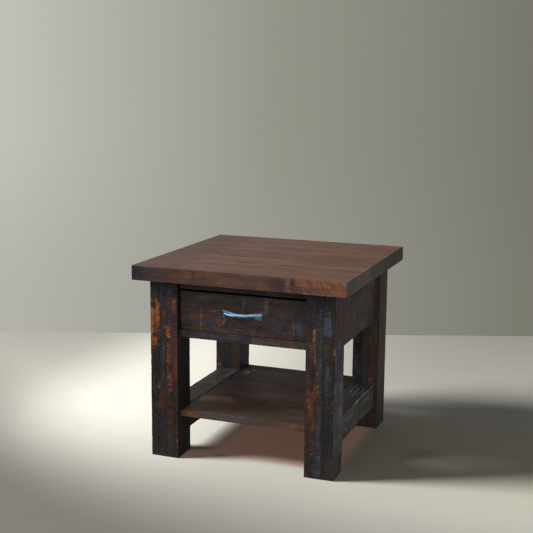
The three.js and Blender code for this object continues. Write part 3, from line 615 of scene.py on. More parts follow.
# Screen colours: each stain's dark and pale one, and the end grain's three from dark to pale.
STAINS = {
    "amber": ((66, 36, 20), (146, 86, 38)),
    "slate": ((30, 34, 40), (64, 73, 84)),
    "russet": ((42, 24, 21), (90, 49, 37)),
    "end": ((26, 24, 26), (42, 39, 41), (60, 55, 56)),
}
GREY_STAINS = {**STAINS, "slate": ((38, 41, 42), (74, 80, 80))}
TOP_STAINS = {
    **STAINS, "amber": ((98, 58, 35), (150, 98, 60)), "russet": ((92, 50, 42), (128, 76, 62))}
PALE_STAINS = {
    "amber": ((150, 112, 70), (176, 134, 88)),
    "slate": ((150, 120, 84), (160, 132, 98)),
    "russet": ((150, 112, 76), (168, 130, 92)),
    "end": ((112, 80, 52), (136, 102, 68), (156, 122, 86)),
}
ON_LEGS = {"stains": STAINS, "saw": 1.0, "hues": 0.9, "fibre": 0.45, "sheen": 0.22}

# Each wood's tones from dark to pale, its worn colour, its gloss, and what else it sets. The top's and
# the shelf's worn colours are a pale grey, which is wear and a painted highlight on their arrises.
WOODS = {
    "top_wood": (
        ((60, 37, 29), (94, 61, 46), (111, 73, 56), (138, 98, 76)), (104, 104, 112), 0.42,
        {"stains": TOP_STAINS, "saw": 1.0, "contrast": 1.05, "hues": 2.4}),
    "amber_leg_wood": (
        ((13, 12, 13), (26, 24, 25), (37, 33, 33), (62, 49, 42)), (88, 58, 40), 0.66, ON_LEGS),
    "slate_leg_wood": (
        ((15, 16, 17), (28, 28, 29), (39, 38, 38), (60, 56, 53)), (84, 70, 58), 0.62, ON_LEGS),
    "russet_leg_wood": (
        ((15, 13, 13), (29, 25, 25), (41, 34, 32), (68, 51, 43)), (100, 62, 42), 0.64, ON_LEGS),
    "frame_wood": (
        ((26, 22, 22), (46, 39, 38), (60, 51, 48), (88, 74, 66)), (98, 78, 62), 0.6,
        {"stains": GREY_STAINS, "saw": 0.6, "contrast": 0.95, "hues": 1.6, "fibre": 0.5, "sheen": 0.18}),
    "shelf_wood": (
        ((25, 21, 20), (45, 37, 34), (59, 47, 42), (84, 68, 59)), (100, 96, 98), 0.6,
        {"stains": GREY_STAINS, "contrast": 0.6, "hues": 1.6, "fibre": 0.5, "sheen": 0.1}),
    "drawer_front_wood": (
        ((24, 21, 21), (44, 39, 37), (58, 51, 47), (88, 75, 64)), (104, 74, 52), 0.6,
        {"stains": GREY_STAINS, "saw": 1.0, "contrast": 0.9, "hues": 0.9, "fibre": 0.5,
         "flecked": 1.3, "sheen": 0.22}),
    "drawer_box_wood": (
        ((140, 108, 74), (166, 132, 94), (182, 148, 110), (200, 170, 132)), (204, 180, 142), 0.5,
        {"stains": PALE_STAINS, "saw": 0.15, "contrast": 0.7, "hues": 0.0, "even": True}),
}
MATERIALS = {
    name: wood(name, tones, worn, gloss, **settings)
    for name, (tones, worn, gloss, settings) in WOODS.items()}


# ---------------------------------------------------------------- boards and their patches

# Kinds of patch: stains, marks, tints and tone shifts. On some boards the dark, worn, lighter and darker
# ones paint shade and light.
PATCH_KINDS = (
    "slate", "russet", "amber", "dark", "worn", "violet", "olive", "scuff", "lighter", "darker")
WHOLE_WIDTH = (-0.2, 1.2)
EVER = (-20, 700)    # from before a board's start to past its end
FAR = 1e9            # further than any side is


def on(side, **stains):
    """Patches on one side of a board: (start, end, low, high, strength) for each stain or mark, some of
    which paint light or shade. start and end are along the board, and for a leg down from its top. low
    and high are across, in shares of the width. Without them a patch is as wide as the side, and a bare
    strength is for the whole side."""
    patches = []
    for kind, places in stains.items():
        for place in places:
            *where, strength = place if isinstance(place, tuple) else (place,)
            patches.append((kind, side, *(where[:2] or EVER), *(where[2:] or WHOLE_WIDTH), strength))
    return patches


def facing(normals, side):
    """How far each normal faces one side of a board, from 0 to 1."""
    sign = 1 if side[0] == "+" else -1
    return ease(normals[:, AXIS[side[1]]] * sign, 0.35, 0.75)


def facing_any(normals, sides):
    return np.max([np.zeros(len(normals)), *(facing(normals, side) for side in sides)], axis=0)


def paint_patches(points, normals, lo, hi, grain, patches, seed):
    """How strong each stain and mark is at each point, the painted light and shade among them."""
    stains = {kind: np.zeros(len(points)) for kind in PATCH_KINDS}
    sway = fractal(points, (15, 15, 15), seed + 71, 3)
    for kind, side, start, end, low, high, strength in patches:
        across = next(k for k in range(3) if k not in (AXIS[side[1]], grain))
        span = hi[across] - lo[across]
        along = hi[2] - points[:, 2] if grain == 2 else points[:, grain] - lo[grain]
        place = (points[:, across] - lo[across]) / span
        soft = np.clip(0.4 * (end - start), 3, 45)
        width = np.clip(0.3 * (high - low) * span, 1.5, 25) / span
        along = along + sway * soft * 0.8
        place = place + sway * width * 0.8
        mask = ease(along, start - soft / 2, start + soft / 2)
        mask *= 1 - ease(along, end - soft / 2, end + soft / 2)
        mask *= ease(place, low - width, low + width)
        mask *= 1 - ease(place, high - width, high + width)
        mask *= facing(normals, side)
        stains[kind] = np.maximum(stains[kind], mask * strength)
    return stains


def rounded(flat, lo, hi, glued, reach, arris, rough, seed):
    """The points moved in to rounded arrises, their normals, and how chipped each place is. A radius
    is larger where the arris is chipped, and small where a glued side is near."""
    chip = ease(fractal(flat, (13, 13, 13), seed + 5, 2), 0.12, 0.55)
    round_off = arris * (0.55 + 0.3 * fractal(flat, (46, 46, 46), seed + 4, 2) + 1.3 * rough * chip)
    radius = np.clip(round_off, 0.25, 0.97 * reach)
    radius = np.where(glued < 0.2 + radius, np.minimum(radius, 0.45), radius)[:, None]
    core = np.clip(flat, lo + radius, hi - radius)
    normals = flat - core
    normals /= np.maximum(np.linalg.norm(normals, axis=1), 1e-9)[:, None]
    return core + normals * radius, normals, chip


def open_share(normals, shown):
    """How much of what wears a face down reaches each point: nothing on a side that is glued."""
    open_side = np.where(normals < 0, shown[::2], shown[1::2])
    share = (np.abs(normals) * open_side).max(axis=1)
    return np.where((~open_side & (np.abs(normals) > 0.9)).any(axis=1), 0, share)


def growth(turned, size, knots, seed):
    """Where each point was in its tree, bent round the knots, and how dark the knots make it."""
    place = turned.copy()
    heart = np.zeros(len(turned))
    for where, spread, turn in knots:
        off = (turned - where) / spread
        pull = turn * np.exp(-(off**2).sum(axis=1))
        place[:, 1:] += pull[:, None] * np.tanh(2 * off[:, 1:])
        heart = np.maximum(heart, 0.9 * np.exp(-((off / 0.42) ** 2).sum(axis=1)))
    rng = np.random.default_rng(seed)
    pith = np.array([rng.uniform(0, 4000), rng.uniform(-60, 60), rng.uniform(35, 150)])
    return place - (0, size[1] / 2, size[2] / 2) + pith, heart


def board(node, grain, outer, look, body="table_frame", trim=0.0, arris=1.5, along=1.8, across=4.0,
          saw=(5.2, 0.0, 0.12), kerf=0.55, wave=0.35, patches=(), known=(), dents=(), knots=(),
          tone=0.0, rough=1.0, worn=0.7, loose=(0.35, 0.35, 0.4), smooth=()):
    """A board as it really is, but for the painted shade and light that some of its patches give: uneven
    faces with saw marks, worn arrises, and stains that vary along it. outer lists the sides that show,
    smooth the planed ones, and known those whose stains the photograph settles. trim is how much of each
    end is left off. along and across are the mesh's steps.
    arris is the edges' radius, and worn how bare they are, which on the top and the shelf is also a
    painted highlight. saw is the kerfs' pitch, slope and depth, and kerf how dark they are. wave is the
    depth of the long waves, and rough scales the chips and the torn fibres. tone makes the whole board
    paler. loose is how much slate, russet and amber there is where nothing is settled. A dent is (place,
    size, depth) and a knot (place, size, turn)."""
    seed = seed_of(node)
    axis = AXIS[grain]
    lo, hi = (np.array(corner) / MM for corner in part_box(node))
    lo[axis] += trim
    hi[axis] -= trim
    reach = 2.4 * arris
    steps = [along if k == axis else across for k in range(3)]
    lines = [edge_lines(lo[k], hi[k], min(reach, 0.3 * (hi[k] - lo[k])), steps[k]) for k in range(3)]
    flat, quads, sides = surface_lattice(lines)
    shown = np.array([side in outer for side in SIDES])
    away = np.stack([flat - lo, hi - flat], axis=2).reshape(-1, 6)
    glued = np.where(shown, FAR, away).min(axis=1)
    points, normals, chip = rounded(flat, lo, hi, glued, reach, arris, rough, seed)

    # What is taken off the faces: long waves, saw marks, torn fibres, and dents.
    local = flat - lo
    order = [axis] + [k for k in range(3) if k != axis]
    turned = local[:, order]
    pitch, slope, depth = saw
    phase = (turned[:, 0] + slope * (turned[:, 1] + turned[:, 2])) / pitch
    phase = phase + 0.4 * fractal(turned, (30, 22, 22), seed + 11, 2)
    groove = (0.5 + 0.5 * np.cos(math.tau * phase)) ** 2
    marked = ease(fractal(turned, (70, 26, 26), seed + 12, 2), -0.35, 0.3)
    planed = facing_any(normals, smooth)
    groove *= (0.15 + 0.85 * marked) * (1 - planed)
    taken = depth * groove
    taken += wave * (0.5 + 0.5 * fractal(turned, (120, 24, 24), seed + 13, 2))
    taken += 0.12 * rough * (0.5 + 0.5 * fractal(turned, (16, 3.5, 3.5), seed + 14, 2))
    marks = np.zeros(len(flat))
    for place, size, deep in dents:
        off = (local - place) / size
        marks = np.maximum(marks, deep * np.exp(-(off**2).sum(axis=1)))
    taken += marks
    points -= normals * (taken * open_share(normals, shown))[:, None]

    # Where the stains, the wear, the end grain, and the patches' painted light and shade are.
    stains = paint_patches(flat, normals, lo, hi, axis, patches, seed)
    settled = facing_any(normals, known)
    for kind, most, offset in zip(("slate", "russet", "amber"), loose, (31, 37, 43)):
        own = ease(fractal(turned, (85, 11, 11), seed + offset, 3), 0.25, 0.5)
        stains[kind] = np.maximum(stains[kind], own * most * 2 * (1 - settled))
    to_outer = np.sort(np.where(shown, away, FAR), axis=1)
    near_edge = np.exp(-to_outer[:, 1] / 2.4)
    rubbing = 0.5 + 0.9 * fractal(turned, (48, 20, 20), seed + 51, 3)
    edge_wear = np.clip(near_edge * (worn * rubbing + 0.5 * chip), 0, 1)
    edge_wear = np.maximum(edge_wear, stains["worn"])
    seam = np.exp(-glued / 1.1)
    grown, heart = growth(turned, (hi - lo)[order], knots, seed)
    dark = np.clip(np.maximum(stains["dark"], 0.75 * seam) + 0.25 * marks, 0, 1)
    dark = np.maximum(dark, heart)
    ends = ease(np.abs(normals[:, axis]), 0.6, 0.8)
    shade = tone + 0.06 * fractal(turned, (170, 60, 60), seed + 61, 2)
    shade += stains["lighter"] - stains["darker"]
    sawn = kerf * (0.35 + 0.65 * marked) * (1 - 0.8 * planed)
    attributes = {
        "grain": grown * MM,
        "stain": np.stack([stains["slate"], stains["russet"], stains["amber"]], axis=1),
        "wear_and_painted_light": np.stack([edge_wear, dark, ends], axis=1),
        "tone": np.stack([shade, sawn, phase], axis=1),
        "tint": np.stack([stains["violet"], stains["olive"], stains["scuff"]], axis=1),
    }
    uvs = block_map(flat, quads, sides, axis, lo, hi)
    piece = mesh_object(node + "_piece", points, quads, MATERIALS[look], attributes, uvs)
    stands_for(piece, node, body)


TOP_EDGE_PATCHES = on(
    "-y", slate=[(-20, 66, 0.6), (60, 400, 0.3), (390, 446, 0.35)],
    amber=[(462, 640, 0.5), (470, 600, 0.55, 0.68, 0.8)], violet=[(-20, 130, 0.7), (395, 446, 0.7)],
    olive=[(80, 300, 0.6)],
    dark=[(-20, 36, 0.6), (176, 182, -0.2, 0.5, 0.35), (179, 187, 0.3, 1.2, 0.55), (420, 443, 0.45),
        (458, 475, 0.45, 1.2, 0.5), (513, 520, 0.48, 0.6, 0.9)],
    lighter=[(230, 385, 0.08), (445, 457, 0.15, 0.95, 0.3), (480, 640, 0.13)],
    darker=[(-20, 60, 0.2), (40, 150, 0.17), (385, 446, 0.13)],
)
TOP_RIGHT_ENDS = (
    on("+x", slate=[0.5], violet=[0.5]),
    on("+x", russet=[0.5], olive=[0.9]),
    on("+x", russet=[(*EVER, -0.2, 0.5, 0.4)], violet=[1.0], dark=[0.45]),
    on("+x", slate=[0.6], dark=[0.82]),
    on("+x", violet=[(*EVER, 0.4, 1.2, 0.8)], olive=[0.9], dark=[0.78]),
)
TOP_TONES = (0.0, 0.03, -0.03, 0.03, -0.03)


def make_top():
    """Five boards glued edge to edge. The first one's front face is the top's front edge."""
    for k, (tone, right_end) in enumerate(zip(TOP_TONES, TOP_RIGHT_ENDS), 1):
        outer = ["-x", "+x", "-z", "+z"]
        patches = right_end + on(
            "+z", russet=[(400, 640, 0.45 if k in (3, 4) else 0.28)],
            violet=[(-20, 260 + 25 * k, 0.2 + 0.12 * k)], olive=[(330, 640, 0.3)],
            # The pale strip along the right end's arris is wear and a painted highlight.
            worn=[(606, 612, 0.9 if k < 3 else 0.4)], darker=[(-20, 130, 0.24 if k == 1 else 0.14)],
        )
        if k == 1:
            outer.append("-y")
            patches += TOP_EDGE_PATCHES
            # The pale line along the front arris is wear and a painted highlight.
            patches += on("+z", olive=[(330, 640, 0.5)], worn=[(0, 380, -0.05, 0.012, 0.9)])
        if k == 5:
            outer.append("+y")
            patches += on("+z", slate=[(40, 130, 0.1, 1.2, 0.25)], scuff=[(30, 62, -0.2, 0.9, 0.12)])
        board(
            f"top_board_{k}", "x", outer, "top_wood", arris=1.7, along=2.4, across=4.5,
            saw=(7.4, 0.95, 0.16), kerf=1.5, smooth=("+z",), wave=0.3, patches=patches,
            known=("-y", "+x", "+z"), tone=tone, rough=0.5, worn=0.5, loose=(0.15, 0.3, 0.3),
            dents=[((450, 0, 34), (9, 8, 8), 1.6)] if k == 1 else (),
            knots=[((466, 0, 26), (26, 20, 16), 7.0)] if k == 1 else (),
        )


LEG_PATCHES = {
    "front_left_leg_left_board": on(
        "-y", slate=[(-20, 62, 0.45), (468, 508, 0.65)], russet=[(392, 402, 0.5, 0.8, 1.0)],
        amber=[(48, 162, 0.5, 1.2, 0.94), (72, 166, -0.2, 0.6, 0.93), (160, 206, 0.8),
            (275, 372, 0.7, 1.2, 0.85), (352, 370, 0.25, 1.2, 0.7), (416, 423, 0.45, 0.85, 0.8)],
        dark=[(163, 167, 0.5), (176, 180, 0.5), (189, 195, 0.6), (376, 520, 0.45)],
        darker=[(-20, 44, 0.08), (206, 520, 0.22), (385, 520, 0.3)],
    ),
    "front_left_leg_middle_board": on(
        "-y", slate=[(-20, 78, 0.4), (112, 300, -0.2, 1.0, 0.48)],
        russet=[(78, 118, 0.2, 1.2, 0.8), (300, 372, 0.65)],
        amber=[(82, 112, 0.5, 0.9, 0.55), (120, 165, 0.78, 1.2, 0.8), (325, 362, 0.0, 0.5, 0.45)],
        violet=[(372, 500, 0.5)], scuff=[(432, 476, 0.2, 0.9, 0.12)],
        darker=[(112, 300, 0.1), (300, 520, 0.16)],
    ),
    "front_left_leg_right_board": on(
        "-y", slate=[(-20, 42, 0.5), (480, 520, 0.3)],
        russet=[(42, 92, 0.4, 1.2, 0.95), (92, 480, -0.2, 0.55, 0.62), (92, 480, 0.5, 1.2, 0.52),
            (300, 425, 0.34)],
        amber=[(48, 88, 0.55, 0.95, 0.5), (122, 166, -0.2, 0.35, 0.95), (170, 335, 0.0, 0.4, 0.5),
            (290, 322, 0.2, 0.8, 0.65), (425, 482, 0.9, 1.2, 0.6)],
        violet=[(92, 240, 0.8), (240, 480, 0.5, 1.2, 0.5)], lighter=[(40, 260, 0.16)],
        darker=[(300, 520, 0.12)],
    # Its inner side is painted near black: painted shade between the legs.
    ) + on("+x", violet=[0.6], dark=[0.96]),
    "front_right_leg_left_board": on(
        "-y", slate=[(-20, 60, 0.3)], russet=[(215, 300, 0.4), (250, 420, 0.6)],
        amber=[(92, 212, 0.78, 1.2, 0.72), (94, 152, 0.6, 1.2, 0.74), (130, 200, 0.3, 0.8, 0.36),
            (200, 305, 0.85, 1.2, 0.6), (215, 262, 0.0, 0.9, 0.36), (258, 402, 0.38),
            (410, 485, 0.5, 1.0, 0.32)], violet=[(-20, 110, 0.8), (225, 300, -0.2, 0.6, 0.6)],
        olive=[(60, 220, 0.5)], lighter=[(-20, 180, 0.2)], darker=[(400, 520, 0.08)],
    # Its left side, beside the drawer, is painted dark: painted shade in the gap there.
    ) + on("-x", dark=[(20, 142, 0.95)]),
    "front_right_leg_middle_board": on(
        "-y", slate=[(-20, 205, 0.4), (440, 520, 0.5)], amber=[(205, 305, -0.2, 0.5, 0.5)],
        violet=[(345, 442, 0.8)], olive=[(90, 330, 0.7)],
        lighter=[(40, 200, 0.1), (300, 442, 0.1, 0.9, 0.26)], darker=[(-20, 50, 0.1)],
    ),
    "front_right_leg_right_board": on(
        "-y",
        slate=[(-20, 66, 0.4), (66, 118, -0.2, 0.85, 0.8), (118, 190, -0.2, 0.25, 0.6),
            (186, 292, -0.2, 0.8, 0.75), (292, 520, 0.45)],
        amber=[(118, 170, 0.82, 1.2, 0.8), (190, 285, 0.93, 1.2, 0.5), (285, 328, 0.8, 1.2, 0.8),
            (320, 520, 0.94, 1.2, 0.55), (470, 500, 0.72, 0.95, 0.5)], violet=[(292, 430, 0.5)],
        olive=[(118, 190, 0.2, 0.9, 0.8)], darker=[(186, 292, 0.12), (300, 520, 0.26)],
    ) + on(
        "+x", slate=[(120, 240, 0.5), (240, 520, 0.62)], russet=[(-20, 125, 0.3)],
        violet=[(-20, 50, 0.8), (115, 245, 0.6)], olive=[(50, 125, 0.9), (250, 520, 0.7)],
        lighter=[(160, 400, 0.12), (230, 420, 0.26)],
    ),
    "back_right_leg_left_board": on(
        "-y", slate=[(200, 520, 0.36)], olive=[(100, 520, 0.4)], lighter=[0.14],
    ),
    "back_right_leg_middle_board": on("-y", slate=[0.3], violet=[0.5], lighter=[0.3]),
    "back_right_leg_right_board": on(
        "-y", slate=[(100, 400, 0.32)], amber=[(190, 270, 0.1, 0.4, 0.3), (348, 366, 0.1, 0.5, 0.5)],
        violet=[(270, 350, 0.6)], olive=[(100, 350, 0.8)], lighter=[0.42],
    ) + on("+x", slate=[(240, 520, 0.4)], violet=[(235, 330, 0.5)], olive=[(-20, 250, 0.8)]),
    "back_left_leg_left_board": on("-y", amber=[(335, 372, -0.2, 0.5, 0.6)]),
    "back_left_leg_middle_board": on("-y", violet=[0.7]),
    "back_left_leg_right_board": on(
        "-y", amber=[(300, 360, 0.4, 0.8, 0.4)], olive=[0.8], lighter=[0.14],
    # Its inner side is painted black: painted shade between the legs.
    ) + on("+x", dark=[(150, 380, 1.2)]),
}


def make_legs():
    """Each leg is three boards glued side by side, and left rough from the saw."""
    looks = (("left", "amber_leg_wood", ("-x", "-y", "+y", "-z")),
             ("middle", "slate_leg_wood", ("-y", "+y", "-z")),
             ("right", "russet_leg_wood", ("+x", "-y", "+y", "-z")))
    for end, side in product(("front", "back"), ("left", "right")):
        sloping = (end, side) == ("front", "right")
        for place, look, outer in looks:
            node = f"{end}_{side}_leg_{place}_board"
            board(
                node, "z", outer, look, arris=1.5, across=2.6 if sloping else 3.4,
                along=1.1 if sloping else 1.7,
                saw=(6.6, -0.53, 0.45) if sloping else (5.8, 0.06, 0.2),
                kerf=0.8 if sloping else 0.75 if end == "front" else 0.6,
                wave=0.5, patches=LEG_PATCHES.get(node, ()),
                known=("-y", "+x"), worn=0.6,
            )


RAIL_PATCHES = {
    # The top rail's underside, over the drawer, is painted dark: painted shade in the gap.
    "front_top_rail": on("-y", violet=[0.6]) + on("-z", dark=[1.0]),
    "front_bottom_rail": on(
        "-y", slate=[(-20, 212, 0.48)], amber=[(20, 380, -0.1, 0.1, 0.7)], violet=[(-20, 212, 0.9)],
        olive=[(212, 400, 0.5)], dark=[(209, 212, 0.7)], lighter=[0.06, (212, 400, 0.26)],
    ),
    "right_apron": on(
        "+x", violet=[(20, 200, -0.2, 0.75, 0.7), (320, 400, 0.9)],
        olive=[(0, 130, -0.2, 0.3, 0.6), (20, 330, 0.7, 1.2, 0.6), (230, 340, 0.6)],
        darker=[0.16, (330, 400, 0.25)],
    ),
    "left_stretcher": on("+z", slate=[0.55], violet=[(80, 220, 0.4)]),
    "right_stretcher": on(
        "+z", slate=[(230, 400, 0.4)], violet=[(60, 250, 1.0)],
        scuff=[(40, 372, 0.94, 1.2, 0.8), (232, 372, 0.1, 1.2, 0.48)], dark=[(225, 380, 0.35)],
        lighter=[0.15],
    ) + on("+x", slate=[0.6], olive=[0.5], lighter=[(-20, 190, 0.08)], darker=[(190, 400, 0.12)]),
}
# Painted light and shade on the shelf. The front board is painted lighter along its front, and lighter
# still at its left end, where the front left leg's shadow falls: painted light. Its front arris is
# painted pale, both wear and a painted highlight. The back of the middle board and all of the back board
# are painted darker, and darker again in a band where the back leg's shadow falls: painted shade.
SHELF_PATCHES = {
    1: on(
        "+z", slate=[(50, 105, 0.7, 1.2, 0.22)], violet=[(300, 400, 0.6)], olive=[(60, 330, 0.8)],
        worn=[(-20, 100, -0.2, 0.6, 0.3), (0, 400, -0.05, 0.035, 0.75)], dark=[(-20, 4, 1.0)],
        lighter=[(-20, 120, -0.2, 0.8, 1.0), (*EVER, -0.2, 0.75, 0.3), (205, 290, 0.62, 1.2, 0.16)],
        darker=[(200, 400, -0.2, 0.5, 0.1)],
    ) + on(
        "-y", slate=[(66, 250, 0.3, 1.2, 0.6)],
        amber=[(-20, 66, 0.62), (60, 150, -0.2, 0.4, 0.4), (285, 400, 0.62)], violet=[(60, 250, 0.5)],
        olive=[0.8], worn=[(60, 310, 0.4)], dark=[(66, 300, 0.86, 1.2, 0.5)],
        lighter=[0.42, (250, 400, 0.55)],
    ),
    2: on(
        "+z", slate=[(-20, 60, 0.4, 1.2, 0.35), (50, 105, 0.25)], violet=[(60, 300, 0.1, 1.2, 0.8)],
        olive=[(-20, 100, 0.5), (110, 220, -0.2, 0.5, 0.8)], scuff=[(0, 40, 0.5, 1.2, 0.15)],
        dark=[(-20, 4, 1.0)], lighter=[(150, 400, -0.2, 0.35, 0.12)],
        darker=[(*EVER, 0.6, 1.2, 0.16), (45, 140, 0.13)],
    ),
    3: on(
        "+z", slate=[(-20, 66, 0.45)], violet=[(60, 330, 0.9)], scuff=[(0, 50, 0.1, 1.2, 0.25)],
        dark=[(-20, 4, 1.0), (44, 74, -0.2, 0.9, 0.25)], darker=[0.2],
    ),
}


TENON = 24.6    # how much of a rail's end is out of sight in its leg
TONGUE = 7.2    # and of a shelf board's in its stretcher


def make_frame():
    """Rails, aprons, stretchers and shelf boards, each from shoulder to shoulder."""
    def rail(node, grain, arris=1.3, **settings):
        patches = RAIL_PATCHES.get(node, ())
        known = sorted({patch[1] for patch in patches})
        board(
            node, grain, SIDES, "frame_wood", trim=TENON, arris=arris, patches=patches, known=known,
            **settings)

    rail("front_top_rail", "x", worn=0.5)
    rail("front_bottom_rail", "x", worn=0.7)
    rail("right_apron", "y", wave=0.6, worn=0.4, kerf=0.25)
    rail("left_apron", "y", wave=0.6, worn=0.4)
    rail("back_apron", "x", wave=0.6, worn=0.4)
    rail("left_stretcher", "y", arris=1.8, wave=0.5, worn=0.6)
    rail("right_stretcher", "y", arris=1.8, wave=0.5, worn=0.6, kerf=0.3)
    for k, patches in SHELF_PATCHES.items():
        outer = ["-z", "+z"] + (["-y"] if k == 1 else []) + (["+y"] if k == 3 else [])
        board(f"shelf_board_{k}", "x", outer, "shelf_wood", trim=TONGUE, arris=1.2, along=2.2,
              saw=(4.0, 0.0, 0.12), smooth=("+z",), wave=0.3, patches=patches, known=("-y", "+z"),
              rough=0.6, worn=0.5, loose=(0.3, 0.2, 0.2))


# The drawer front's top and ends, inside the opening, and a thin strip along the top of its face are
# painted dark: painted shade in the gaps round the drawer.
DRAWER_PATCHES = on("+z", dark=[1.0]) + on("-x", dark=[1.0]) + on("+x", dark=[1.0]) + on(
    "-y",
    slate=[(136, 160, -0.1, 0.4, 0.4), (140, 162, 0.5, 1.1, 0.35), (182, 193, 0.5, 1.1, 0.7),
        (193, 243, 0.5, 1.1, 0.35), (245, 259, 0.5, 1.1, 0.8), (336, 357, -0.1, 0.55, 0.75)],
    amber=[(9, 22, 0.45, 0.48, 0.7), (26, 42, 0.3, 0.33, 0.75), (26, 44, 0.2, 0.72, 0.38),
        (26, 150, -0.1, 0.02, 0.65), (28, 43, 0.62, 0.66, 0.7), (57, 88, 0.76, 0.79, 0.8),
        (58, 66, -0.1, 0.82, 0.62), (60, 84, 0.6, 0.63, 0.7), (65, 86, 0.4, 0.43, 0.7),
        (67, 120, 0.2, 0.23, 0.6), (68, 92, 0.68, 0.82, 0.4), (84, 109, 0.5, 0.53, 1.1),
        (101, 121, 0.12, 0.4, 0.6), (126, 133, 0.15, 0.37, 0.85), (155, 178, 0.74, 0.77, 0.6),
        (157, 180, 0.66, 0.69, 0.6), (165, 176, -0.1, 0.28, 0.55), (209, 215, -0.1, 0.15, 0.5),
        (234, 237, -0.1, 0.33, 0.85), (240, 244, -0.1, 0.2, 0.8), (271, 275, -0.1, 0.36, 0.62),
        (278, 281, -0.1, 0.28, 0.7), (298, 302, -0.1, 0.42, 0.62), (320, 323, -0.1, 0.34, 0.8),
        (328, 332, -0.1, 0.54, 0.85), (340, 372, -0.1, 0.02, 0.5)],
    violet=[(20, 130, 0.1, 0.9, 0.4), (240, 340, 0.1, 0.7, 0.5)], olive=[(193, 243, 0.4, 1.1, 0.7)],
    scuff=[(263, 293, 0.68, 0.95, 0.12)], dark=[(*EVER, 0.985, 1.2, 0.8)],
)


def make_drawer_front():
    board("drawer_front", "x", SIDES, "drawer_front_wood", "drawer", arris=1.4, along=1.0, across=3.0,
          saw=(5.4, 0.04, 0.16), kerf=0.45, wave=0.35, patches=DRAWER_PATCHES, known=("-y",), worn=0.6)


make_top()
make_legs()
make_frame()
make_drawer_front()


# ---------------------------------------------------------------- metal, and the parts inside

def metal(name, dull, bright, gloss, patina=0.0, even=False):
    n = Nodes(name)
    place = n.add("ShaderNodeTexCoord").outputs["Object"]
    brushed = n.noise(place, (60, 1500, 1500))
    lumps = n.noise(place, (170, 170, 170), 3.0, 0.5)
    spots = n.noise(place, (420, 420, 420), 4.0, 0.65)
    colour = n.mix(n.step(n.weighted((brushed, 0.5), (lumps, 0.6)), 0.3, 0.8), dull, bright)
    colour = n.mix(n.times(n.step(spots, 0.52, 0.68), patina), colour, rgb(24, 34, 42))
    rough = n.weighted((brushed, 0.2), (spots, 0.2), (1.0, gloss - 0.2))
    height = n.weighted((brushed, 0.15), (lumps, 0.8))
    rough = gloss if even else rough
    return n.surface(colour, Metallic=1.0, Roughness=rough, Normal=n.bump(height, 0.0006, 0.6))


def blued_metal():
    """Blued steel with a painted reflection: painted bright above the ridge, and painted dark below it
    and at the very ends, as painted shade.
    """
    n = Nodes("pull_metal")
    along, around, _ = n.parts(n.attribute("place"))
    drawn_out = {0: n.times(along, 45.0), 1: around}
    streak_place = n.add("ShaderNodeCombineXYZ", drawn_out).outputs[0]
    streaks = n.noise(streak_place, (1, 3.2, 1), 3.0, 0.6)
    place = n.add("ShaderNodeTexCoord").outputs["Object"]
    lumps = n.noise(place, (190, 190, 190), 3.0, 0.5)
    spots = n.noise(place, (420, 420, 420), 4.0, 0.65)
    # The painted reflection's colours: bright for its highlights, middle and dark for its shade.
    bright = n.mix(n.step(streaks, 0.38, 0.62), rgb(98, 150, 180), rgb(184, 214, 226))
    middle = n.mix(n.step(lumps, 0.4, 0.6), rgb(18, 70, 106), rgb(62, 126, 162))
    dark = n.mix(n.step(lumps, 0.4, 0.7), rgb(6, 28, 50), rgb(20, 72, 106))
    height_on_face = n.weighted((around, 1.0), (streaks, 0.3), (1.0, -0.15))
    left = n.step(along, -0.008, -0.034)
    right = n.step(along, 0.034, 0.046)
    # Painted highlights: above the ridge, and on the left end a band across the face.
    painted_upper_highlight = n.times(n.step(height_on_face, 0.2, 0.36), n.maths("SUBTRACT", 1.0, left))
    painted_left_end_highlight = n.times(n.between(height_on_face, -0.02, 0.34, 0.12), left)
    # Painted highlights along the top rim and the low rim, and in flecks on the right end.
    top_rim = n.step(around, 0.74, 0.88)
    low_rim = n.times(n.step(around, -0.72, -0.86), n.weighted((left, 0.5), (1.0, 0.2)))
    rims = n.most(top_rim, low_rim)
    flecks = n.times(n.swing((lumps, 3.2), (streaks, 2.0)), right)
    rubbed_and_highlight = n.weighted((painted_upper_highlight, 1.0), (painted_left_end_highlight, 1.0), (right, -0.45), (flecks, 0.9))
    lit = n.most(rubbed_and_highlight, rims, clamp=True)
    # Past the tips the ends are painted dark, painted shade, except on their rims.
    beyond_tip = n.step(along, -0.0535, -0.0515)
    lit = n.times(lit, n.most(beyond_tip, n.times(rims, 0.8)))
    soft = n.times(n.step(height_on_face, 0.3, 0.45), left)
    soft = n.times(n.most(soft, n.times(right, 0.8)), beyond_tip)
    colour = n.mix(soft, dark, middle)
    colour = n.mix(n.maths("SUBTRACT", 1.0, beyond_tip), colour, rgb(10, 62, 86))
    colour = n.mix(lit, colour, bright)
    colour = n.mix(n.times(n.step(spots, 0.52, 0.68), 0.4), colour, rgb(24, 44, 58))
    rough = n.weighted((streaks, 0.2), (spots, 0.2), (1.0, 0.36))
    height = n.weighted((streaks, 0.2), (lumps, 0.8))
    return n.surface(colour, Metallic=0.3, Roughness=rough, Normal=n.bump(height, 0.0006, 0.6))


MATERIALS["pull_metal"] = blued_metal()
MATERIALS["slide_steel"] = metal(
    "slide_steel", rgb(150, 154, 158), rgb(196, 199, 202), 0.34, 0.08, even=True)
MATERIALS["cage_steel"] = metal("cage_steel", rgb(120, 124, 128), rgb(168, 171, 174), 0.42, 0.2)
MATERIALS["screw_steel"] = metal("screw_steel", rgb(140, 140, 132), rgb(184, 184, 176), 0.38, 0.2)

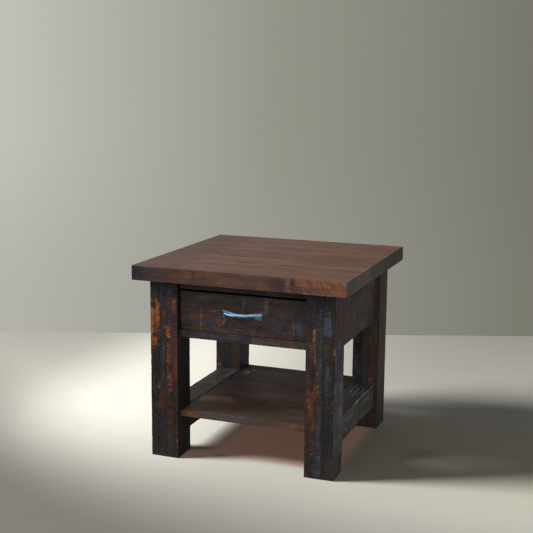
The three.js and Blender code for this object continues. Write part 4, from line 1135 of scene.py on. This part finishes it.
PULL_FOOT = 17.0         # how far the feet reach in from the ends
PULL_GRIP = 13.2         # the grip's height
PULL_THICKNESS = 7.0
PULL_TIP = 1.3           # the thickness at the very ends
PULL_BEND = 2.2          # the power of the way along that the bow and the flare follow
PULL_STATIONS = 150
HAMMER_MARK = 0.34
PULL_SECTION = (         # in shares of the thickness, and of half the height
    (0, -1), (0.3, -1), (0.72, -0.82), (1.0, -0.3), (0.97, -0.16), (0.62, 0.62), (0.3, 0.96), (0, 1),
    (0, 0.5), (0, 0), (0, -0.5))


def softened(outline, rounds):
    """The closed outline with its corners cut off again and again."""
    for _ in range(rounds):
        after = np.roll(outline, -1, axis=0)
        pairs = [0.75 * outline + 0.25 * after, 0.25 * outline + 0.75 * after]
        outline = np.stack(pairs, axis=1).reshape(-1, 2)
    return outline


def make_pull():
    """A bow pull, bent from the front and flared at its ends, with a ridge low on its face."""
    lo, hi = (np.array(corner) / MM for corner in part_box("drawer_pull"))
    width, out, height = hi - lo
    half = width / 2
    inner_half = half - PULL_FOOT
    section = softened(np.array(PULL_SECTION), 2)
    rings = []
    for k in range(PULL_STATIONS + 1):
        x = -half + 2 * half * k / PULL_STATIONS
        t = abs(x) / half
        front = max(out * (1 - t**PULL_BEND), PULL_TIP)
        back = (out - PULL_THICKNESS) * (1 - min(1, abs(x) / inner_half) ** PULL_BEND)
        rise = (PULL_GRIP + (height - PULL_GRIP) * t**PULL_BEND) / 2
        ring = np.stack([
            np.full(len(section), x),
            hi[1] - back - section[:, 0] * (front - back),
            (lo[2] + hi[2]) / 2 + section[:, 1] * rise,
        ], axis=1)
        rings.append(ring)
    points = np.concatenate(rings)
    count = len(section)
    middle = points.reshape(-1, count, 3).mean(axis=1).repeat(count, axis=0)
    around = np.tile(section[:, 1], PULL_STATIONS + 1)
    place = np.stack([points[:, 0] * MM, around, np.zeros(len(points))], axis=1)
    hammered = 0.5 + 0.5 * fractal(points, (5, 5, 4), 811, 2)
    inward = middle - points
    inward /= np.maximum(np.linalg.norm(inward, axis=1), 1e-6)[:, None]
    inward[:, 0] = 0
    on_wall = points[:, 1] > hi[1] - 0.05
    points = points + inward * (HAMMER_MARK * hammered * ~on_wall)[:, None]
    faces = []
    for k in range(PULL_STATIONS):
        for j in range(count):
            a, b = k * count + j, k * count + (j + 1) % count
            faces.append((a, b, b + count, a + count))
    faces.append(tuple(range(count - 1, -1, -1)))
    faces.append(tuple(range(PULL_STATIONS * count, (PULL_STATIONS + 1) * count)))
    piece = mesh_object("drawer_pull_piece", points, faces, MATERIALS["pull_metal"], {"place": place})
    stands_for(piece, "drawer_pull", "drawer")


SAME_FACE = math.radians(2)
SHARP_EDGE = math.radians(35)
SHARP_SHADING = math.radians(32)


def eased(node, body, look, grain=None, width=0.4):
    """The CAD node's own shape, its edges bevelled by width, with the grain of a board along an axis."""
    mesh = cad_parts[node].data.copy()
    mesh.name = node + "_piece"
    shape = bmesh.new()
    shape.from_mesh(mesh)
    bmesh.ops.remove_doubles(shape, verts=shape.verts, dist=1e-6)
    bmesh.ops.dissolve_limit(shape, angle_limit=SAME_FACE, verts=shape.verts, edges=shape.edges)
    shared = [edge for edge in shape.edges if len(edge.link_faces) == 2]
    sharp = [edge for edge in shared if edge.calc_face_angle() > SHARP_EDGE]
    bmesh.ops.bevel(
        shape, geom=sharp, offset=width * MM, segments=2, profile=0.6, affect="EDGES",
        clamp_overlap=True)
    bmesh.ops.triangulate(shape, faces=shape.faces)
    shape.to_mesh(mesh)
    shape.free()
    mesh.materials.clear()
    mesh.materials.append(MATERIALS[look])
    mesh.polygons.foreach_set("use_smooth", np.ones(len(mesh.polygons), bool))
    mesh.set_sharp_from_angle(angle=SHARP_SHADING)
    if grain:
        place = np.zeros(3 * len(mesh.vertices), np.float32)
        mesh.vertices.foreach_get("co", place)
        rng = np.random.default_rng(seed_of(node))
        order = [AXIS[grain]] + [k for k in range(3) if k != AXIS[grain]]
        field = place.reshape(-1, 3)[:, order] + rng.uniform(0.04, 0.4, 3)
        layer = mesh.attributes.new("grain", "FLOAT_VECTOR", "POINT")
        layer.data.foreach_set("vector", field.astype(np.float32).ravel())
    piece = new_object(node + "_piece", mesh)
    stands_for(piece, node, body)


def make_inside():
    make_pull()
    for side in ("left", "right"):
        eased(f"{side}_top_cleat", "table_frame", "frame_wood", "y")
        eased(f"drawer_{side}_side", "drawer", "drawer_box_wood", "y")
        eased(f"{side}_slide_cabinet_member", "table_frame", "slide_steel", width=0.15)
        eased(f"{side}_slide_middle_member", f"{side}_middle_member", "slide_steel", width=0.15)
        eased(f"{side}_slide_drawer_member", "drawer", "slide_steel", width=0.15)
        for place in ("front", "back"):
            eased(f"{side}_cleat_{place}_screw", "table_frame", "screw_steel", width=0.12)
            eased(f"{side}_cabinet_member_{place}_screw", "table_frame", "screw_steel", width=0.12)
            eased(f"{side}_drawer_member_{place}_screw", "drawer", "screw_steel", width=0.12)
        eased(f"pull_{side}_screw", "drawer", "screw_steel", width=0.12)
        for place in ("inner", "outer"):
            eased(f"{side}_slide_{place}_ball_cage", f"{side}_{place}_cage", "cage_steel", width=0.05)
    eased("drawer_box_front", "drawer", "drawer_box_wood", "x")
    eased("drawer_box_back", "drawer", "drawer_box_wood", "x")
    eased("drawer_bottom_panel", "drawer", "drawer_box_wood", "x", width=0.2)


make_inside()
